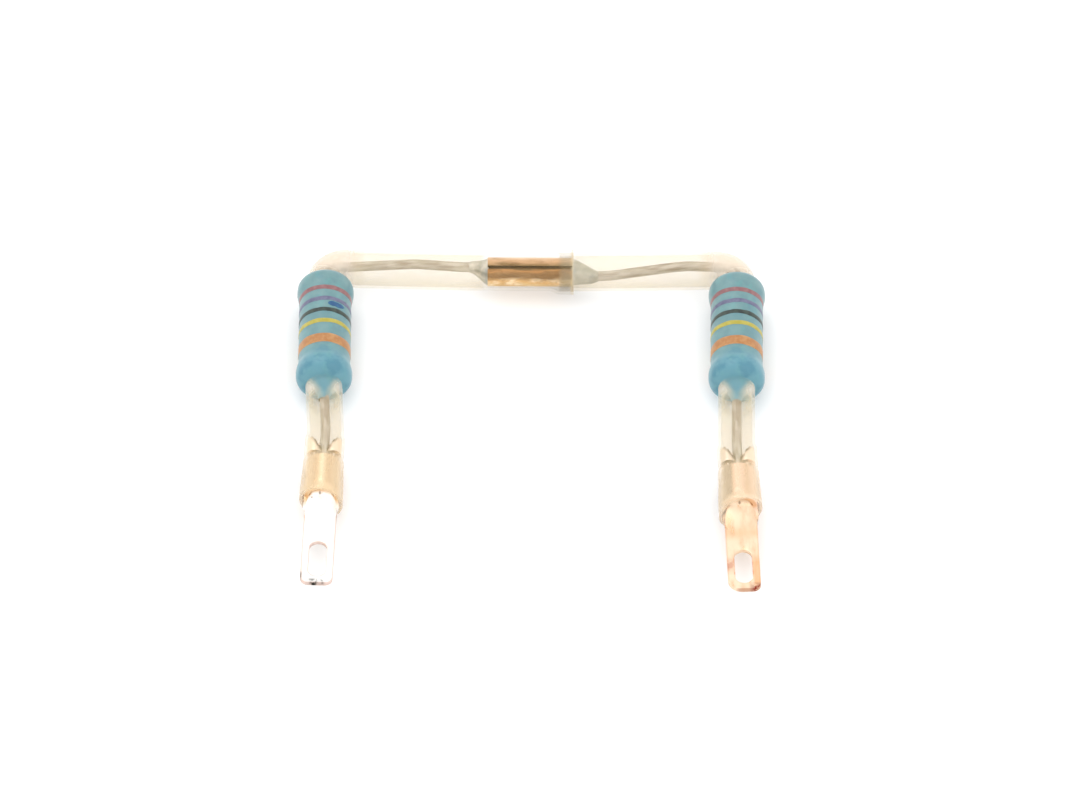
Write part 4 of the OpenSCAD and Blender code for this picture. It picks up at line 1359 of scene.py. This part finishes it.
class RP_OT_tabs(Operator):
    """Crimped tab terminals"""

    bl_idname = "resistor_pair.tabs"
    bl_label = "Tab terminals"

    def sheet(self, side, settings):
        """Barrel, troughs and blade as one sheet at its middle, before it gets its thickness."""
        middle = settings.barrel_r - settings.sheet / 2
        span = settings.barrel_end - settings.barrel_start
        press, drop, press_len, count = 0.14, -0.1 * MM, 0.6 * MM, 20
        grip_w = 1.26 * MM
        stations = []
        for k in range(count + 1):
            back = span * (1 - k / count)
            share = fade(back, 0, press_len)
            tall = middle * (1 - press * share)
            stations.append((settings.barrel_end - back, middle, 0, tall, drop * share))
        obj = ring_stack("tab", stations, sides=72)
        self.select_end(obj, settings.barrel_end, drop)
        self.run_out(settings.barrel_end, settings.blade_start, settings.blade_w / (2 * middle))
        self.blade(settings, math.tan(BLADE_LIFT[side]))
        leave()
        if side == RIGHT:
            self.wear_corner(obj, settings)
        self.select_end(obj, settings.barrel_start, 0)
        self.run_out(settings.barrel_start, settings.scroll, grip_w / (2 * middle))
        bpy.ops.mesh.extrude_region_move(TRANSFORM_OT_translate={"value": (-settings.scroll, 0, 0)})
        leave()
        tidy_mesh(obj)
        return obj

    def blade(self, settings, slope):
        """Extrudes the selected edge to the blade with its two round corners."""
        half = settings.blade_w / 2
        straight = settings.blade_end - settings.blade_start - TIP_CORNER
        parts, corner_parts = 8, 6
        steps = [(settings.blade_start + straight * k / parts, 1.0) for k in range(1, parts + 1)]
        for k in range(1, corner_parts + 1):
            angle = math.radians(90 * k / corner_parts)
            along = settings.blade_end - TIP_CORNER * (1 - math.sin(angle))
            steps.append((along, 1 - TIP_CORNER * (1 - math.cos(angle)) / half))
        place, width = settings.blade_start, 1.0
        for along, share in steps:
            step = along - place
            bpy.ops.mesh.extrude_region_move(TRANSFORM_OT_translate={"value": (step, 0, step * slope)})
            bpy.ops.transform.resize(value=(1, share / width, 1), center_override=(along, 0, FLAT_Z))
            place, width = along, share

    def wear_corner(self, obj, settings):
        """Cuts the right blade's inner corner to a wider round."""
        radius = 1.0 * MM
        centre = Vector((settings.blade_end - radius, radius - settings.blade_w / 2, 0))
        edit(obj)
        for degrees in range(10, 90, 10):
            angle = math.radians(degrees)
            out = Vector((math.cos(angle), -math.sin(angle), 0))
            edge = centre + out * radius
            bpy.ops.mesh.select_all(action="SELECT")
            bpy.ops.mesh.bisect(plane_co=edge, plane_no=out, clear_outer=True, threshold=TOUCH)
        leave()

    def select_end(self, obj, along, height):
        """Selects the lower half of the barrel's edge at a place."""
        near = 0.005 * MM
        select_by(obj, lambda co: abs(co.x - along) < near and co.z < height + near)

    def run_out(self, start, end, widen):
        """Extrudes the selected lower half of a barrel's edge to a flat strip."""
        count, flattest = 6, 1e-4
        height, width, place = 1.0, 1.0, start
        for k in range(1, count + 1):
            share = rise(k / count)
            along = start + (end - start) * k / count
            new_height = max(1 - share, flattest)
            new_width = 1 + (widen - 1) * share
            bpy.ops.mesh.extrude_region_move(TRANSFORM_OT_translate={"value": (along - place, 0, 0)})
            bpy.ops.transform.resize(
                value=(1, new_width / width, new_height / height), center_override=(along, 0, FLAT_Z)
            )
            height, width, place = new_height, new_width, along

    def fill(self, name, side, settings):
        """Solder in a barrel's mouth, run out thinner and thinner over the root of the blade."""
        bore = settings.barrel_r - settings.sheet
        front = settings.barrel_end
        top = FLAT_Z + settings.sheet / 2
        inner, deep, shallow = 0.98 * bore, 2.0 * MM, 0.25 * MM
        stations = [(front - back, inner) for back in (deep, shallow)]
        for along, wide, over, sunk in SOLDER_RUN:
            place = front + along * MM
            slant = max(0.0, place - settings.blade_start) * math.tan(BLADE_LIFT[side])
            tall, lift = (over + sunk) / 2 * MM, (over - sunk) / 2 * MM
            stations.append((place, wide * bore, 0, tall, top + slant + lift))
        obj = ring_stack(name, stations, sides=64, closed=True)
        apply_modifier(obj, "Flow", "SUBSURF", levels=1, render_levels=1)
        return obj

    def scroll(self, way, settings):
        """One of the two scrolls that grip the lead, with its side of the flared mouth."""
        radius, offset, axis_z, count = 0.43 * MM, 0.63 * MM, -0.07 * MM, 5
        above = axis_z + 0.01 * MM
        stations = [(settings.scroll * k / count, radius) for k in range(count + 1)]
        obj = ring_stack("scroll", stations, sides=32)
        put(obj, Matrix.Translation((0, way * offset, axis_z)))
        slope = Vector((settings.scroll, -way * GRIP_TAPER, 0))
        normal = Vector((-slope.y, slope.x, 0)) * -way
        edge = Vector((0, way * GRIP_MOUTH, 0))
        edit_all(obj)
        bpy.ops.mesh.bisect(plane_co=edge, plane_no=normal, threshold=TOUCH)
        leave()
        select_by(obj, lambda co: co.z > above and (co - edge).dot(normal) > TOUCH)
        bpy.ops.mesh.delete(type="VERT")
        leave()
        return obj

    def slot_cutter(self, settings):
        """Long round-ended bar that cuts the blade's slot."""
        depth = 3 * MM
        radius = settings.slot_w / 2
        far = settings.blade_end - settings.web - radius
        near = far - settings.slot_len + settings.slot_w
        bpy.ops.object.select_all(action="DESELECT")
        place = (near, 0, FLAT_Z)
        bpy.ops.mesh.primitive_cylinder_add(vertices=48, radius=radius, depth=depth, location=place)
        obj = bpy.context.object
        bpy.ops.object.transform_apply(location=True, rotation=True, scale=True)
        select_by(obj, lambda co: co.x > near + TOUCH)
        bpy.ops.transform.translate(value=(far - near, 0, 0))
        leave()
        return obj

    def execute(self, context):
        settings = context.scene.rp_tab
        for side, name in SIDE_NAMES.items():
            obj = self.sheet(side, settings)
            scrolls = [self.scroll(way, settings) for way in (-1, 1)]
            only(obj)
            for part in scrolls:
                part.select_set(True)
            bpy.ops.object.join()
            obj.name = obj.data.name = name + "_tab"
            edit_all(obj)
            bpy.ops.mesh.normals_make_consistent(inside=False)
            leave()
            apply_modifier(obj, "Sheet", "SOLIDIFY", thickness=settings.sheet, offset=0)
            cutter = self.slot_cutter(settings)
            apply_modifier(obj, "Slot", "BOOLEAN", operation="DIFFERENCE", object=cutter, solver="EXACT")
            bpy.data.objects.remove(cutter)
            apply_modifier(
                obj, "Edge", "BEVEL", width=0.04 * MM, segments=2, limit_method="ANGLE", angle_limit=0.6
            )
            solder = self.fill(name + "_tab_fill", side, settings)
            for piece, material, slot, node in (
                (obj, tab_material(side), name + "_tab_metal", name + "_tab_terminal"),
                (solder, fill_material(side), name + "_tab_solder", name + "_barrel_solder"),
            ):
                keep_place(piece)
                put(piece, terminal_matrix(side))
                smooth(piece)
                finish_piece(piece, material, slot, node)
        return {"FINISHED"}


class RP_OT_stage(Operator):
    """Floor, light and camera"""

    bl_idname = "resistor_pair.stage"
    bl_label = "Stage"

    def execute(self, context):
        scene = context.scene
        settings = scene.rp_stage
        floor_size, nearest, farthest = 6, 0.01, 50
        bpy.ops.object.select_all(action="DESELECT")
        bpy.ops.mesh.primitive_plane_add(size=floor_size, location=(0, 0, 0))
        floor = bpy.context.object
        floor.name = floor.data.name = "floor"
        paint = Paint("floor_white", (0.95, 0.95, 0.95), 0.9)
        paint.set(Specular_IOR_Level=0.1)
        floor.data.materials.append(paint.material)

        world = bpy.data.worlds.new("studio")
        scene.world = world
        world.use_nodes = True
        background = world.node_tree.nodes["Background"]
        background.inputs["Color"].default_value = (1, 1, 1, 1)
        background.inputs["Strength"].default_value = settings.sky

        for name, place, size, power in (
            ("key", (-0.2, 0.2, 0.5), 0.4, 0.4),
            ("fill", (0.3, -0.25, 0.5), 0.45, 0.25),
        ):
            light = bpy.data.lights.new(name, "AREA")
            light.size = size
            light.energy = power
            obj = bpy.data.objects.new(name, light)
            scene.collection.objects.link(obj)
            obj.location = place
            obj.rotation_euler = (-Vector(place)).to_track_quat("-Z", "Y").to_euler()

        camera = bpy.data.cameras.new("camera")
        camera.sensor_width = settings.sensor
        camera.lens = settings.lens
        camera.clip_start = nearest
        camera.clip_end = farthest
        obj = bpy.data.objects.new("camera", camera)
        scene.collection.objects.link(obj)
        flat = settings.distance * math.cos(settings.elevation)
        offset = Vector((
            flat * math.sin(settings.azimuth),
            -flat * math.cos(settings.azimuth),
            settings.distance * math.sin(settings.elevation),
        ))
        obj.location = Vector(settings.target) + offset
        obj.rotation_euler = (-offset).to_track_quat("-Z", "Y").to_euler()
        scene.camera = obj
        scene.view_settings.view_transform = "Standard"
        return {"FINISHED"}


class RP_PT_sidebar(Panel):
    """Steps of the resistor pair, in order"""

    bl_idname = "RP_PT_sidebar"
    bl_label = "Resistor pair"
    bl_space_type = "VIEW_3D"
    bl_region_type = "UI"
    bl_category = "Resistor pair"

    def draw(self, context):
        for operator in STEPS:
            self.layout.operator(operator.bl_idname)


STEPS = (RP_OT_core, RP_OT_bodies, RP_OT_leads, RP_OT_sleeves, RP_OT_splice, RP_OT_tabs, RP_OT_stage)
SETTINGS = {
    "rp_body": BodySettings,
    "rp_colour": ColourSettings,
    "rp_wire": WireSettings,
    "rp_sleeve": SleeveSettings,
    "rp_splice": SpliceSettings,
    "rp_tab": TabSettings,
    "rp_stage": StageSettings,
}


def register():
    for kind in (*SETTINGS.values(), *STEPS, RP_PT_sidebar):
        bpy.utils.register_class(kind)
    for name, kind in SETTINGS.items():
        setattr(bpy.types.Scene, name, PointerProperty(type=kind))


def unregister():
    for name in SETTINGS:
        delattr(bpy.types.Scene, name)
    for kind in reversed((*SETTINGS.values(), *STEPS, RP_PT_sidebar)):
        bpy.utils.unregister_class(kind)


def main():
    register()
    bpy.ops.resistor_pair.core()
    bpy.ops.resistor_pair.bodies()
    bpy.ops.resistor_pair.leads()
    bpy.ops.resistor_pair.sleeves()
    bpy.ops.resistor_pair.splice()
    bpy.ops.resistor_pair.tabs()
    bpy.ops.resistor_pair.stage()


if __name__ == "__main__":
    main()
